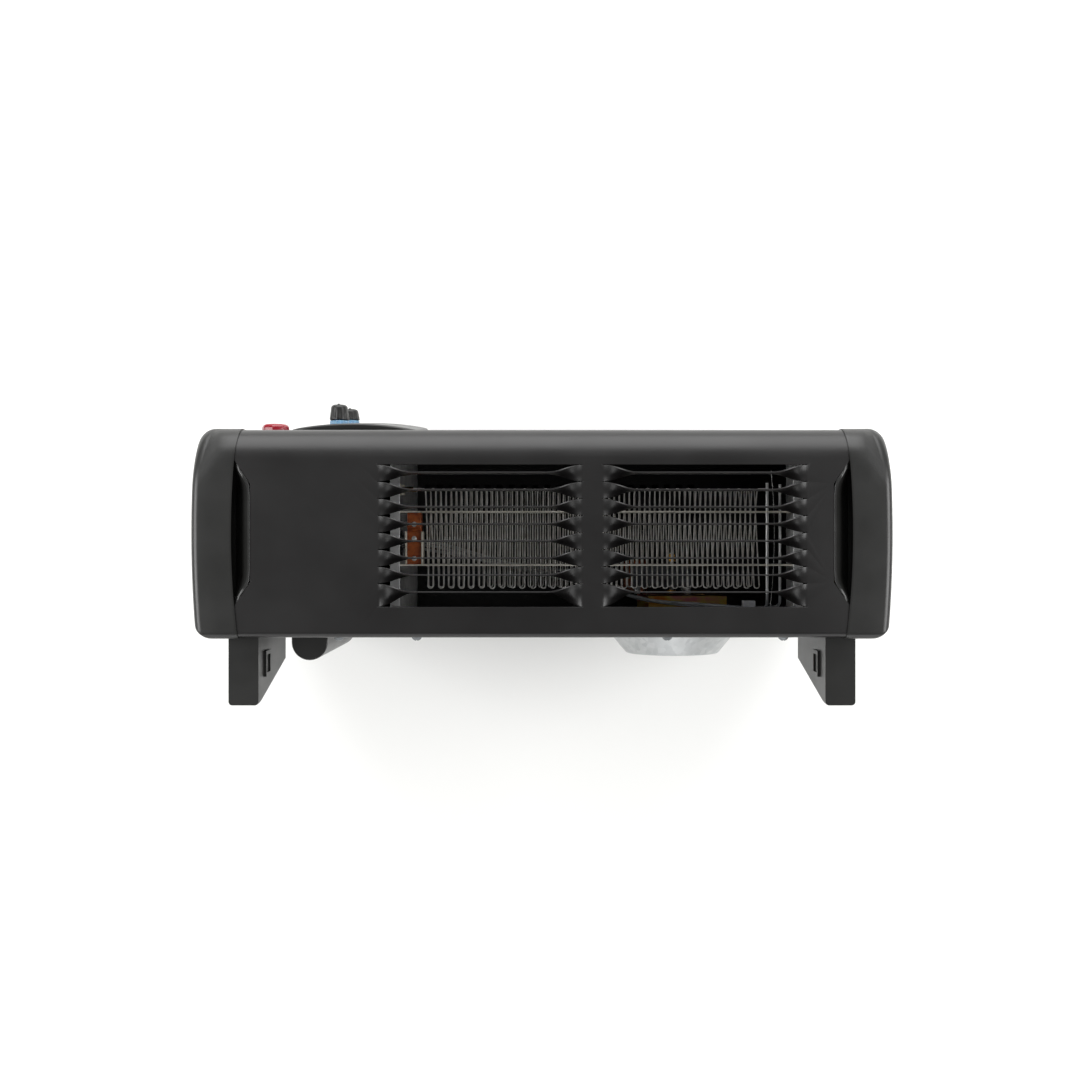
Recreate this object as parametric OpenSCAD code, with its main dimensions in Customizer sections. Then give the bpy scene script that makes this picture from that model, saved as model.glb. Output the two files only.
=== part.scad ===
// Free-standing convector heater with a fan behind the lower half of the casing.
// The front faces -Y, the controls are at +X, and the floor is z = 0.

/* [Body] */
// Width across the two end caps
overall_w = 530; // [500:1:600]
// Height of the tops of the end caps above the floor
overall_h = 400; // [395:1:460]
// Depth of the steel casing from its front face to its rear face
body_d = 158; // [154:1:180]
// Height of the casing's underside above the floor
foot_h = 30; // [26:1:45]
// Thickness of the steel sheet
sheet_t = 1; // [0.8:0.1:1.4]
// Outside radius of the bend between front and top
front_bend_r = 20; // [10:1:20]
// Outside radius of the bend between top and rear
rear_bend_r = 5; // [3:0.5:7]
// Height of the flange that the casing turns down at the rear
rear_flange_h = 18; // [16:1:24]
// Depth of the flange that the casing turns in at the bottom
base_flange_d = 14; // [10:1:20]
// Number of pressed stiffening grooves in the front
groove_n = 3; // [1:1:4]
// Distance between those grooves
groove_pitch = 26; // [20:1:34]
// Height of the lowest groove above the casing's underside
groove_z = 46; // [30:1:70]
// Half width of a groove
groove_r = 4; // [3:0.5:6]
// Depth of a groove
groove_depth = 1.6; // [1:0.2:2.4]

/* [Air outlet] */
// Distance of the near window's end in from the end cap's inner edge
window_near = 110; // [108:1:120]
// Distance of the far window's end in from the other end cap's inner edge
window_far = 34; // [32:1:44]
// Width of the web between the windows
web_w = 14; // [10:1:20]
// Front edge of the windows, in front of the middle plane
window_front = 51.5; // [48:0.5:54]
// Rear edge of the windows, behind the middle plane
window_rear = 55.7; // [54:0.1:60]
// Number of vanes in each window
vane_n = 8; // [7:1:8]
// Distance between vanes
vane_pitch = 12.8; // [12:0.1:13]
// Gap sheared between neighbouring vanes
vane_kerf = 0.4; // [0.3:0.1:0.8]
// Thickness of a vane
vane_t = 0.8; // [0.6:0.1:1]
// Length over which a vane turns on edge
vane_twist_l = 27; // [20:1:34]
// Angle that a vane is turned by
vane_turn = 88; // [70:1:90]

/* [End caps] */
// Width of an end cap at the middle of its depth
cap_w = 31; // [28:1:38]
// Wall of an end cap
cap_wall = 2.6; // [2.2:0.1:4]
// How far an end cap stands proud of the casing
cap_proud = 1; // [0.8:0.1:1.5]
// Length of casing that slides into an end cap
cap_tuck = 10; // [8:1:14]
// Bow of the outer side of an end cap
bow_outer = 3.5; // [2:0.5:6]
// Bow of the inner edge of an end cap
bow_inner = 5; // [3:0.5:7]
// Corner radius of an end cap, seen from above
cap_corner_r = 12; // [8:1:16]
// Radius along the top outer edge of an end cap
cap_edge_r = 6; // [3:1:8]

/* [Hand grips] */
// Reach of a hand grip in from the end cap
grip_in = 14; // [12:1:20]
// Half length of a hand grip at the end cap
grip_long = 58; // [50:1:62]
// Half length of a hand grip at its inner edge
grip_short = 37; // [30:1:44]
// Depth of a hand grip
grip_depth = 24; // [20:1:28]
// Reach of a hand grip under the end cap
grip_under = 16; // [12:1:18]
// Wall of a hand grip
grip_wall = 2; // [1.6:0.2:2.4]

/* [Feet] */
// Distance of each foot's middle in from the end caps' inner edges
foot_in = 24; // [23:1:30]
// Length of a foot, front to back
foot_l = 200; // [184:1:206]
// Width of a foot
foot_w = 34; // [28:1:40]
// Corner radius of a foot
foot_r = 12; // [8:1:13]
// Length of a foot's top
foot_top_l = 156; // [140:1:170]
// Length of the raised middle of a foot's underside
foot_arch_l = 110; // [80:1:130]
// Height of the raised middle
foot_arch_h = 3; // [2:0.5:5]
// Distance of each foot screw from the middle plane
foot_screw_y = 40; // [34:1:50]

/* [Wall spacers] */
// Distance of each wall spacer's middle in from the end caps' inner edges
spacer_in = 5.5; // [3:0.5:8]
// Width of a wall spacer
spacer_w = 23; // [20:1:26]
// Reach of a wall spacer behind the end cap at its top
spacer_out = 52; // [40:1:60]
// Reach of a wall spacer at its bottom
spacer_out_low = 25; // [15:1:30]
// Distance of a wall spacer's top below the tops of the end caps
spacer_drop = 20; // [14:1:40]
// Height of a wall spacer
spacer_h = 120; // [90:1:150]
// Wall of a wall spacer
spacer_wall = 2.5; // [2:0.1:3.5]
// Corner radius of a wall spacer
spacer_r = 3; // [1:0.5:4]

/* [Controls] */
// Distance of the controls in from the end cap's inner edge
knob_in = 68; // [64:1:76]
// Height of the upper knob
knob_z = 300; // [290:1:310]
// Distance between the knobs
knob_pitch = 70; // [60:1:80]
// Radius of a knob at its base
knob_r = 8; // [7.6:0.1:9]
// Radius of a knob near its tip
knob_tip_r = 6.9; // [6.4:0.1:7.4]
// Reach of the power knob's tip in front of the casing
power_knob_out = 27.4; // [26:0.1:30]
// Reach of the thermostat knob's tip in front of the casing
thermostat_knob_out = 30; // [29:0.1:34]
// Height of a dial ring's face over the control plate
ring_stand = 2.6; // [2.2:0.1:3]
// Radius of a dial ring
ring_r = 7.8; // [7.4:0.1:9]
// Radius of a control spindle
spindle_r = 3; // [2.5:0.1:3.4]
// Outside radius of the bushing round a spindle
bushing_r = 5; // [4.6:0.1:5.6]
// Distance of the control plate's middle in from the end cap's inner edge
plate_in = 83.5; // [83:0.5:88]
// Width of the control plate
plate_w = 100; // [94:1:101]
// Height of the control plate
plate_h = 145; // [135:1:160]
// Height of the control plate's middle
plate_z = 267; // [260:1:275]
// Reach of the control plate's top edge in front of the casing, at its middle
plate_top_out = 8.2; // [7.6:0.1:9]
// Reach of the control plate's bottom edge in front of the casing, at its middle
plate_low_out = 20.2; // [18:0.1:20.6]
// Bow of the control plate across its width
plate_bow = 5; // [3:0.1:5.4]
// Wall of the control plate
plate_wall = 2.5; // [2:0.1:3]
// Corner radius of the control plate
plate_r = 14; // [8:1:20]
// Distance of the pilot lamp in from the end cap's inner edge
lamp_in = 21; // [19:0.5:21.5]
// Height of the pilot lamp
lamp_z = 330; // [310:1:340]
// Radius of the pilot lamp's lens
lamp_r = 11; // [9.6:0.1:11.4]
// Radius round the edge of the lens
lamp_round = 3.5; // [2:0.1:3.8]
// Reach of the lens in front of the casing
lamp_out = 8.2; // [7:0.1:10]

/* [Heating element] */
// Height of the element's middle
element_z = 250; // [235:1:262]
// Place of the element's middle, behind the middle plane
element_y = 4; // [0:1:6]
// Half width of a heating wire's zig-zag, seen from above
element_half_y = 42; // [38:1:44]
// Rise of the zig-zag over that half width
element_half_z = 16; // [10:1:18]
// Number of loops in each heating wire
loop_n = 33; // [24:1:34]
// Diameter of the heating wire
wire_d = 1.2; // [0.8:0.1:1.4]
// Distance of a wire's first leg from the bulkhead
wire_in = 27.4; // [26.4:0.1:31]
// Distance of the mica strips from the element's middle
strip_y = 22.5; // [20:0.5:25]
// Thickness of a mica strip
strip_t = 1.2; // [0.8:0.1:1.6]
// Height of a mica strip
strip_h = 40; // [38:1:46]
// Distance of the bulkhead in from the end cap's inner edge
bulkhead_in = 108.6; // [106:0.1:110]
// Distance of the element's far bracket in from the other end cap's inner edge
far_in = 18; // [14:1:20]
// Height of the tops of the bulkhead and bracket
bulkhead_z = 291; // [286:1:300]
// Radius of a far connecting rod
rod_r = 1.25; // [1:0.05:1.5]
// Distances of the far connecting rods from the far bracket
rod_in = [26, 10];
// Radius of a terminal pin
pin_r = 1.6; // [1.2:0.1:2]
// Radius of a porcelain bush
bush_r = 4.5; // [3.6:0.1:5]

/* [Fan] */
// Distance of the fan's axis in from the end cap's inner edge
fan_in = 114; // [108:1:120]
// Height of the fan's axis
fan_z = 150; // [140:1:158]
// Radius of the impeller
impeller_r = 44; // [36:1:46]
// Depth of the impeller's blades
blade_d = 17; // [12:1:18]
// Number of blades
blade_n = 6; // [4:1:8]
// Pitch angle of the blades
blade_angle = 38; // [30:1:44]
// Radius of the impeller's hub
hub_r = 14; // [11:0.5:16]
// Radius of the fan's shaft
shaft_r = 2; // [1.5:0.1:2.5]
// Radius of the motor's rotor
rotor_r = 12; // [9:0.5:13]
// Radius of the air intake in the back panel
intake_r = 58; // [52:1:60]
// Radius of the rear guard at the back panel
guard_r = 66; // [63:1:70]
// Radius of the rear guard's face
guard_face_r = 42; // [38:1:48]
// Reach of the rear guard behind the casing
guard_out = 30; // [26:1:34]
// Width of the rim round the rear guard
guard_rim = 9; // [7:1:10]
// Number of slots in the rear guard's face
guard_slot_n = 16; // [10:1:20]
// Width of the motor bracket
bracket_w = 68; // [60:1:76]
// Place of the motor bracket's plate, behind the middle plane
bracket_y = 54; // [50:1:56]
// Half height of the motor bracket
bracket_h = 76; // [74:1:82]
// Thickness of the motor bracket
bracket_t = 1.2; // [1:0.1:2]

/* [Cable entry] */
// Distance of the cable cover in from the end cap's inner edge
cover_in = 53; // [50:1:56]
// Half width of the cable cover
cover_r = 14; // [12:0.5:15]
// Reach of the cable cover behind the casing
cover_out = 20; // [18:0.5:24]
// Height of the cable cover's top
cover_top = 360; // [340:1:370]
// Length of the cable cover
cover_l = 170; // [150:1:200]
// Wall of the cable cover
cover_wall = 2; // [1.5:0.1:2.5]
// Radius of the cord hole through the gland
cord_r = 3.7; // [3:0.1:4.5]

/* [Fits] */
// Gap between pieces that are fixed to each other
fit_gap = 0.2; // [0.1:0.05:0.3]
// Radial clearance of a shaft or spindle in its bearing
run_gap = 0.05; // [0.03:0.01:0.08]
// Gap between faces that move past each other
face_gap = 0.3; // [0.2:0.05:0.5]
// Radius of a fixing screw's shank
screw_r = 2; // [1.5:0.1:2.2]
// Radius of a fixing screw's head
screw_head_r = 4; // [3.4:0.1:4.4]
// Height of a fixing screw's head
screw_head_h = 2.8; // [2:0.1:3.4]

/* [Hidden] */
$fn = 64;
slack = 1;
round_less = 0.01;
black = "#2b2b2d";
plastic = "#232325";
zinc = "#b9bcc0";
chromate = "#c89a4e";
mica = "#d8d4c6";
nichrome = "#8d8a86";
brass = "#b58d4a";
porcelain = "#e9e2cf";
phenolic = "#7c4a26";
copper = "#b4622d";
grey_lead = "#8f9296";

y_front = -body_d / 2;
y_rear = body_d / 2;
z_base = foot_h;
z_top = overall_h - cap_proud;
end_x = overall_w / 2;
cap_x = end_x - cap_w;
casing_x = cap_x + cap_tuck;
foot_x = cap_x - foot_in;
spacer_x = cap_x - spacer_in;
knob_x = cap_x - knob_in;
plate_x = cap_x - plate_in;
lamp_x = cap_x - lamp_in;
cover_x = cap_x - cover_in;
fan_x = fan_in - cap_x;
bulkhead_x = cap_x - bulkhead_in;
far_x = far_in - cap_x;
rod_x = [for (d = rod_in) far_x + d];
wire_x = bulkhead_x - wire_in;
leg_n = 2 * loop_n;
rod_to_leg = 8.5;
leg_pitch = (wire_x - rod_x[0] - rod_to_leg) / (leg_n - 1);
window_w = cap_x - (window_near + window_far + web_w) / 2;
web_x = (window_far - window_near) / 2;
base_under = z_base - sheet_t;
panel_y = y_rear - 2 * sheet_t;
inner_y = y_front + sheet_t;
knob_reach = body_d / 2 + max(power_knob_out, thermostat_knob_out);
spacer_reach = body_d / 2 + cap_proud + spacer_out;
body_y = (knob_reach - spacer_reach) / 2;
control_z = [knob_z, knob_z - knob_pitch];
plate_slant = atan((plate_low_out - plate_top_out) / plate_h);
plate_arc_r = (plate_w * plate_w / 4 + plate_bow * plate_bow) / (2 * plate_bow);
plate_dip = plate_arc_r - sqrt(plate_arc_r * plate_arc_r - (knob_x - plate_x) * (knob_x - plate_x));
function plate_reach(z) = plate_top_out + (plate_z + plate_h / 2 - z) * tan(plate_slant) - plate_dip;
ring_reach = [for (z = control_z) plate_reach(z) + ring_stand];
window_x = [web_x + (window_w + web_w) / 2, web_x - (window_w + web_w) / 2];
base_x = cap_x - bow_inner - fit_gap;
back_screw_x = [cap_x - 80, cap_x - 139, 139 - cap_x, 51 - cap_x];
base_lip_h = 18;
back_screw_low = z_base + base_lip_h / 2;
back_screw_high = z_top - rear_flange_h / 2;

module on_axis() translate([0, body_y, 0]) children();
module to_side(side) {
    if (side < 0) mirror([1, 0, 0]) children();
    else children();
}
module along_x(x0, x1)
    translate([x0, 0, 0]) rotate([90, 0, 90]) linear_extrude(x1 - x0) children();
module along_y(y0, y1)
    translate([0, y1, 0]) rotate([90, 0, 0]) linear_extrude(y1 - y0) children();
module along_z(z0, z1) translate([0, 0, z0]) linear_extrude(z1 - z0) children();
module block(low, high) translate(low) cube(high - low);
module rod_x_between(x0, x1, y, z, r)
    translate([x0, y, z]) rotate([0, 90, 0]) cylinder(h = x1 - x0, r = r);
module rod_y_between(y0, y1, x, z, r)
    translate([x, y0, z]) rotate([-90, 0, 0]) cylinder(h = y1 - y0, r = r);
module rod_z_between(z0, z1, x, y, r) translate([x, y, z0]) cylinder(h = z1 - z0, r = r);
module turned_y(y, x, z) translate([x, y, z]) rotate([-90, 0, 0]) rotate_extrude() children();
module round_plate(w, h, r) {
    square([w - 2 * r, h], center = true);
    square([w, h - 2 * r], center = true);
    for (sx = [-1, 1], sy = [-1, 1])
        translate([sx * (w / 2 - r), sy * (h / 2 - r)]) circle(r);
}

// Outline of the casing seen from its end, drawn in or out by an inset
module wrap_outline(inset) {
    r_f = front_bend_r - inset;
    r_r = rear_bend_r - inset;
    y0 = y_front + inset;
    y1 = y_rear - inset;
    z0 = z_base + inset;
    z1 = z_top - inset;
    translate([y0, z0]) square([y1 - y0, z1 - z0 - r_f]);
    translate([y0 + r_f, z0]) square([y1 - y0 - r_f - r_r, z1 - z0]);
    translate([y0 + r_f, z0]) square([y1 - y0 - r_f, z1 - z0 - r_r]);
    translate([y0 + r_f, z1 - r_f]) circle(r_f);
    translate([y1 - r_r, z1 - r_r]) circle(r_r);
}

// Closed tube through a list of rings that have as many points each
module ring_tube(rings) {
    n = len(rings[0]);
    last = (len(rings) - 1) * n;
    polyhedron([for (ring = rings) each ring], concat(
        [for (i = [0:len(rings) - 2], j = [0:n - 1])
            each [[i * n + j, (i + 1) * n + j, i * n + (j + 1) % n],
                  [i * n + (j + 1) % n, (i + 1) * n + j, (i + 1) * n + (j + 1) % n]]],
        [for (j = [1:n - 2]) [0, j, j + 1]],
        [for (j = [1:n - 2]) [last, last + j + 1, last + j]]));
}
function unit(v) = v / norm(v);
function tube_rings(path, side_dir, r, sides) = [for (i = [0:len(path) - 1])
    let (before = unit(path[i] - path[max(i - 1, 0)] + (i == 0 ? path[1] - path[0] : [0, 0, 0])),
         after = i == len(path) - 1 ? before : unit(path[i + 1] - path[i]),
         ahead = unit(before + after),
         u = unit(cross(side_dir, ahead)),
         v = cross(ahead, u),
         stretch = 1 / max(ahead * before, 0.6))
    [for (j = [0:sides - 1]) let (a = 360 * j / sides)
        path[i] + r * (stretch * cos(a) * u + sin(a) * v)]];

// Vane: a strip of the top sheet, flat at its ends and turned on edge between them
vane_steps = 7;
vane_tuck = 2;
vane_ease = 0.6;
function turn_at(s) = vane_turn * pow(s * s * (3 - 2 * s), vane_ease);
function vane_stations(x0, x1) = concat(
    [[x0 - vane_tuck, 0]],
    [for (i = [0:vane_steps]) [x0 + vane_twist_l * i / vane_steps, turn_at(i / vane_steps)]],
    [for (i = [0:vane_steps]) [x1 - vane_twist_l * (1 - i / vane_steps), turn_at(1 - i / vane_steps)]],
    [[x1 + vane_tuck, 0]]);
module vane(x0, x1, y, front_half, rear_half) {
    ring_tube([for (s = vane_stations(x0, x1))
        [for (c = [[-front_half, -1], [rear_half, -1], [rear_half, 1], [-front_half, 1]])
            let (w = c[1] * vane_t / 2)
            [s[0], y + c[0] * cos(s[1]) + w * sin(s[1]),
             z_top - sheet_t / 2 - c[0] * sin(s[1]) + w * cos(s[1])]]]);
}
module vanes() {
    for (mid = window_x, k = [0:vane_n - 1]) {
        y = -window_front + vane_pitch * (k + 0.5);
        half = (vane_pitch - vane_kerf) / 2;
        vane(mid - window_w / 2, mid + window_w / 2, y, half,
             k < vane_n - 1 ? half : window_rear - y - vane_kerf / 2);
    }
}

// Hand grip outline seen from above, between the casing and the end cap
module grip_outline(grow) {
    polygon([
        [cap_x - grip_in - grow, -grip_short - grow], [cap_x - grip_in - grow, grip_short + grow],
        [cap_x + slack, grip_long + grow], [casing_x + slack, grip_long + grow],
        [casing_x + slack, -grip_long - grow], [cap_x + slack, -grip_long - grow]
    ]);
}

module casing() color(black) on_axis() {
    union() {
        difference() {
            union() {
                along_x(-casing_x, casing_x) difference() {
                    wrap_outline(0);
                    wrap_outline(sheet_t);
                    translate([y_rear - sheet_t - slack, z_base - slack])
                        square([sheet_t + 2 * slack, z_top - rear_flange_h - z_base + slack]);
                    translate([y_front + base_flange_d, z_base - slack])
                        square([body_d, sheet_t + 2 * slack]);
                }
                for (i = [0:groove_n - 1]) front_groove(i, sheet_t);
            }
            for (i = [0:groove_n - 1]) front_groove(i, 0);
            for (mid = window_x)
                block([mid - window_w / 2, -window_front, z_top - sheet_t - slack],
                      [mid + window_w / 2, window_rear, z_top + slack]);
            for (side = [-1, 1])
                to_side(side) along_z(z_top - sheet_t - slack, z_top + slack) grip_outline(fit_gap);
            for (z = control_z)
                rod_y_between(y_front - slack, inner_y + slack, knob_x, z, bushing_r + fit_gap);
            rod_y_between(y_front - slack, inner_y + slack, lamp_x, lamp_z, lamp_stem_r + fit_gap);
            for (x = back_screw_x)
                rod_y_between(y_rear - sheet_t - slack, y_rear + slack, x, back_screw_high,
                              screw_r + fit_gap);
        }
        vanes();
    }
}
// Long groove pressed in from the front: a bar that lies mostly in front of the sheet
groove_in = 44;
groove_l = 2 * (cap_x - groove_in);
module front_groove(i, grow) {
    z = z_base + groove_z + i * groove_pitch;
    half = groove_l / 2 + grow;
    along_x(-half, half) intersection() {
        translate([y_front + groove_depth - groove_r, z]) circle(groove_r + grow);
        translate([y_front + (grow > 0 ? sheet_t / 2 : -groove_r), z - 2 * groove_r])
            square([2 * groove_r, 4 * groove_r]);
    }
}

back_slot_n = 10;
back_slot_pitch = 11;
back_slot_w = 4;
back_slot_l = 34;
back_slot_x = 10;
back_slot_z = 74;
back_slot_rows = 3;
back_slot_gap = 12;
lead_hole_r = 6;
lead_hole_down = 60;
lead_hole_z = cover_top - lead_hole_down;
panel_x = casing_x - fit_gap;
module back_panel() color(black) on_axis() difference() {
    block([-panel_x, panel_y, z_base], [panel_x, panel_y + sheet_t, z_top - rear_bend_r]);
    rod_y_between(panel_y - slack, y_rear + slack, fan_x, fan_z, intake_r);
    for (row = [0:back_slot_rows - 1], i = [0:back_slot_n - 1])
        translate([back_slot_x + i * back_slot_pitch, 0, back_slot_z + row * (back_slot_l + back_slot_gap)])
            along_y(panel_y - slack, y_rear + slack)
                round_plate(back_slot_w, back_slot_l, back_slot_w / 2 - round_less);
    for (x = back_screw_x, z = [back_screw_low, back_screw_high])
        rod_y_between(panel_y - slack, y_rear + slack, x, z, screw_r + fit_gap);
    for (p = bracket_screws)
        rod_y_between(panel_y - slack, y_rear + slack, p[0], p[1], screw_r + fit_gap);
    for (p = guard_screw_places)
        rod_y_between(panel_y - slack, y_rear + slack, p[0], p[1], screw_r + fit_gap);
    rod_y_between(panel_y - slack, y_rear + slack, cover_x, lead_hole_z, lead_hole_r);
    for (side = [-1, 1], z = spacer_screw_z)
        rod_y_between(panel_y - slack, y_rear + slack, side * cap_screw_x, z, screw_r + fit_gap);
}

base_slot_n = 26;
base_slot_pitch = 12;
base_slot_w = 5;
base_slot_l = 44;
base_slot_y = 27;
base_slots = [for (i = [0:base_slot_n - 1]) (i - (base_slot_n - 1) / 2) * base_slot_pitch];
// Sheet of the base seen from above, with ends that follow the end caps' inner edges
module base_outline() {
    half = body_d / 2 + cap_proud;
    r_in = (half * half + bow_inner * bow_inner) / (2 * bow_inner);
    intersection() {
        translate([-cap_x, y_front + sheet_t]) square([2 * cap_x, body_d - sheet_t]);
        translate([cap_x - r_in, 0]) circle(r_in - fit_gap, $fn = 720);
        translate([r_in - cap_x, 0]) circle(r_in - fit_gap, $fn = 720);
    }
}
module base_plate() color(black) on_axis() difference() {
    union() {
        along_z(base_under, z_base) base_outline();
        block([-base_x, y_rear - sheet_t, base_under], [base_x, y_rear, z_base + base_lip_h]);
    }
    for (sy = [-1, 1], x = base_slots)
        if (abs(x - bulkhead_x) > base_slot_w)
            translate([x, sy * base_slot_y]) along_z(base_under - slack, z_base + slack)
                round_plate(base_slot_w, base_slot_l, base_slot_w / 2 - round_less);
    for (x = back_screw_x)
        rod_y_between(y_rear - sheet_t - slack, y_rear + slack, x, back_screw_low,
                      screw_r + fit_gap);
    for (sx = [-1, 1], sy = [-1, 1])
        rod_z_between(base_under - slack, z_base + slack, sx * foot_x, sy * foot_screw_y,
                      screw_r + fit_gap);
}

// Band of an end cap seen from above, with both of its long edges bowed outward
module cap_band() {
    half = body_d / 2 + cap_proud;
    r_out = (half * half + bow_outer * bow_outer) / (2 * bow_outer);
    r_in = (half * half + bow_inner * bow_inner) / (2 * bow_inner);
    difference() {
        intersection() {
            translate([end_x - r_out, 0]) circle(r_out, $fn = 720);
            translate([end_x - overall_w / 2, 0]) round_plate(overall_w, 2 * half, cap_corner_r);
            translate([cap_x - 2 * bow_inner, -half]) square([2 * cap_w, 2 * half]);
        }
        translate([cap_x - r_in, 0]) circle(r_in, $fn = 720);
    }
}
module cap_end_outline(inset) {
    r = cap_edge_r;
    z1 = z_top + cap_proud - inset;
    x1 = end_x - inset;
    translate([cap_x - 2 * cap_w, 0]) square([x1 - cap_x + 2 * cap_w, z1 - r]);
    translate([cap_x - 2 * cap_w, 0]) square([x1 - cap_x + 2 * cap_w - r, z1]);
    translate([x1 - r, z1 - r]) circle(r);
}
module end_cap(side) on_axis() to_side(side) difference() {
    intersection() {
        along_z(base_under, z_top + 2 * cap_proud) cap_band();
        along_x(cap_x - 2 * cap_w, end_x + slack) wrap_outline(-cap_proud);
        along_y(-body_d, body_d) cap_end_outline(0);
    }
    difference() {
        along_x(0, casing_x + fit_gap) wrap_outline(-fit_gap);
        block([0, grip_step - grip_long, overall_h - cap_wall],
              [end_x, grip_long - grip_step, overall_h]);
    }
    along_x(casing_x, end_x - bow_outer - cap_wall) wrap_outline(cap_wall - cap_proud);
    for (z = spacer_screw_z)
        rod_y_between(y_rear - cap_wall, y_rear + cap_proud + slack, cap_screw_x, z,
                      screw_r + fit_gap);
}
// Flat that the cap keeps over a hand grip, short of the grip's corners
grip_step = 6;
module end_cap_left() color(plastic) end_cap(-1);
module end_cap_right() color(plastic) end_cap(1);

grip_rim = 0.6;
module grip_cup(side) on_axis() to_side(side) {
    cup_top = overall_h - cap_wall - fit_gap;
    cup_end = cap_x + grip_under;
    cup_far = casing_x + 2 * grip_under;
    mouth_x = cap_x - grip_in + grip_wall / 2;
    floor_z = z_top - grip_depth + grip_wall;
    difference() {
        intersection() {
            along_z(z_top - grip_depth, z_top + grip_rim) grip_outline(0);
            union() {
                block([cap_x - 2 * grip_in, -body_d, 0], [cap_x - bow_inner, body_d, z_top + grip_rim]);
                block([cap_x - 2 * grip_in, -body_d, 0], [cup_end, body_d, cup_top]);
            }
        }
        intersection() {
            along_z(z_top - grip_depth, z_top + slack) grip_outline(-grip_wall);
            along_y(-body_d, body_d) polygon([
                [mouth_x, z_top], [mouth_x, z_top + 2 * slack], [cup_far, z_top + 2 * slack],
                [cup_far, floor_z], [cap_x, floor_z]
            ]);
            block([0, -body_d, 0], [cup_end - grip_wall, body_d, overall_h]);
        }
    }
}
module grip_cup_left() color(plastic) grip_cup(-1);
module grip_cup_right() color(plastic) grip_cup(1);

screw_sink = 9;
screw_bite = 4;
module foot(side) on_axis() difference() {
    intersection() {
        translate([side * foot_x, 0]) along_z(0, base_under) round_plate(foot_w, foot_l, foot_r);
        along_x(-end_x, end_x) polygon([
            [-foot_l / 2, 0], [-foot_arch_l / 2 - foot_arch_h, 0],
            [-foot_arch_l / 2, foot_arch_h], [foot_arch_l / 2, foot_arch_h],
            [foot_arch_l / 2 + foot_arch_h, 0], [foot_l / 2, 0],
            [foot_l / 2, base_under / 3], [foot_top_l / 2, base_under], [-foot_top_l / 2, base_under],
            [-foot_l / 2, base_under / 3]
        ]);
    }
    for (s = [-1, 1]) {
        translate([side * foot_x, s * foot_screw_y]) {
            along_z(-slack, base_under + slack) circle(screw_r + fit_gap);
            along_z(-slack, screw_sink) circle(screw_head_r + fit_gap);
        }
    }
}
module foot_left() color(plastic) foot(-1);
module foot_right() color(plastic) foot(1);
module foot_screws() color(zinc) on_axis()
    for (sx = [-1, 1], sy = [-1, 1]) translate([sx * foot_x, sy * foot_screw_y, screw_sink])
        rotate([180, 0, 0]) pan_screw(base_under - screw_sink + screw_bite);

// Pan-head screw with its seat at the origin, head along +Z and shank along -Z
cross_w = 0.9;
cross_deep = 1.1;
module pan_screw(shank) {
    head_ball = (screw_head_r * screw_head_r + screw_head_h * screw_head_h) / (2 * screw_head_h);
    difference() {
        union() {
            intersection() {
                cylinder(h = screw_head_h, r = screw_head_r);
                translate([0, 0, screw_head_h - head_ball]) sphere(head_ball);
            }
            translate([0, 0, -shank]) cylinder(h = shank + screw_head_h / 4, r = screw_r);
        }
        for (a = [0, 90]) rotate(a)
            translate([0, 0, screw_head_h])
                cube([1.1 * screw_head_r, cross_w, 2 * cross_deep], center = true);
    }
}
sheet_screw_l = 6;
module screw_y(x, z, y, shank) translate([x, y, z]) rotate([-90, 0, 0]) pan_screw(shank);

spacer_top = overall_h - spacer_drop;
spacer_y = y_rear + cap_proud;
spacer_screw_at = [0.2, 0.8];
spacer_screw_z = [for (s = spacer_screw_at) spacer_top - s * spacer_h];
cap_screw_x = cap_x - 1;
// Boss on the inner side of a spacer: a frame round a shallow pocket
clip_from = 12;
clip_l = 20;
clip_down = 22;
clip_h = 20;
clip_out = 2;
clip_rim = 3;
module spacer_side_outline(inset) {
    y0 = spacer_y + inset;
    y1 = spacer_y - inset;
    low = spacer_top - spacer_h - (inset > 0 ? slack : 0);
    polygon([
        [y0, low], [y0, spacer_top - inset],
        [y1 + spacer_out, spacer_top - inset], [y1 + spacer_out_low, low]
    ]);
}
module clip_block(x0, x1, inset) block(
    [x0, spacer_y + clip_from + inset, spacer_top - clip_down - clip_h + inset],
    [x1, spacer_y + clip_from + clip_l - inset, spacer_top - clip_down - inset]);
module wall_spacer(side) on_axis() to_side(side) {
    x0 = spacer_x - spacer_w / 2;
    x1 = spacer_x + spacer_w / 2;
    difference() {
        union() {
            intersection() {
                along_x(x0, x1) spacer_side_outline(0);
                translate([spacer_x, spacer_y + spacer_out / 2 - spacer_r])
                    along_z(0, overall_h) round_plate(spacer_w, spacer_out + 2 * spacer_r, spacer_r);
            }
            clip_block(x0 - clip_out, spacer_x, 0);
        }
        along_x(x0 + spacer_wall, x1 - spacer_wall) spacer_side_outline(spacer_wall);
        clip_block(0, x0 - clip_out / 4, clip_rim);
        for (z = spacer_screw_z) {
            rod_y_between(y_rear, spacer_y + 2 * spacer_wall, cap_screw_x, z, screw_r + fit_gap);
            rod_y_between(spacer_y + spacer_wall, y_rear + 2 * spacer_out, cap_screw_x, z,
                          screw_head_r + fit_gap);
        }
    }
}
module wall_spacer_left() color(plastic) wall_spacer(-1);
module wall_spacer_right() color(plastic) wall_spacer(1);
module spacer_screws() color(zinc) on_axis()
    for (side = [-1, 1], z = spacer_screw_z)
        to_side(side) screw_y(cap_screw_x, z, spacer_y + spacer_wall, spacer_wall + cap_wall + slack);

module back_screws() color(zinc) on_axis()
    for (x = back_screw_x, z = [back_screw_low, back_screw_high])
        screw_y(x, z, y_rear, sheet_screw_l);

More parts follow.
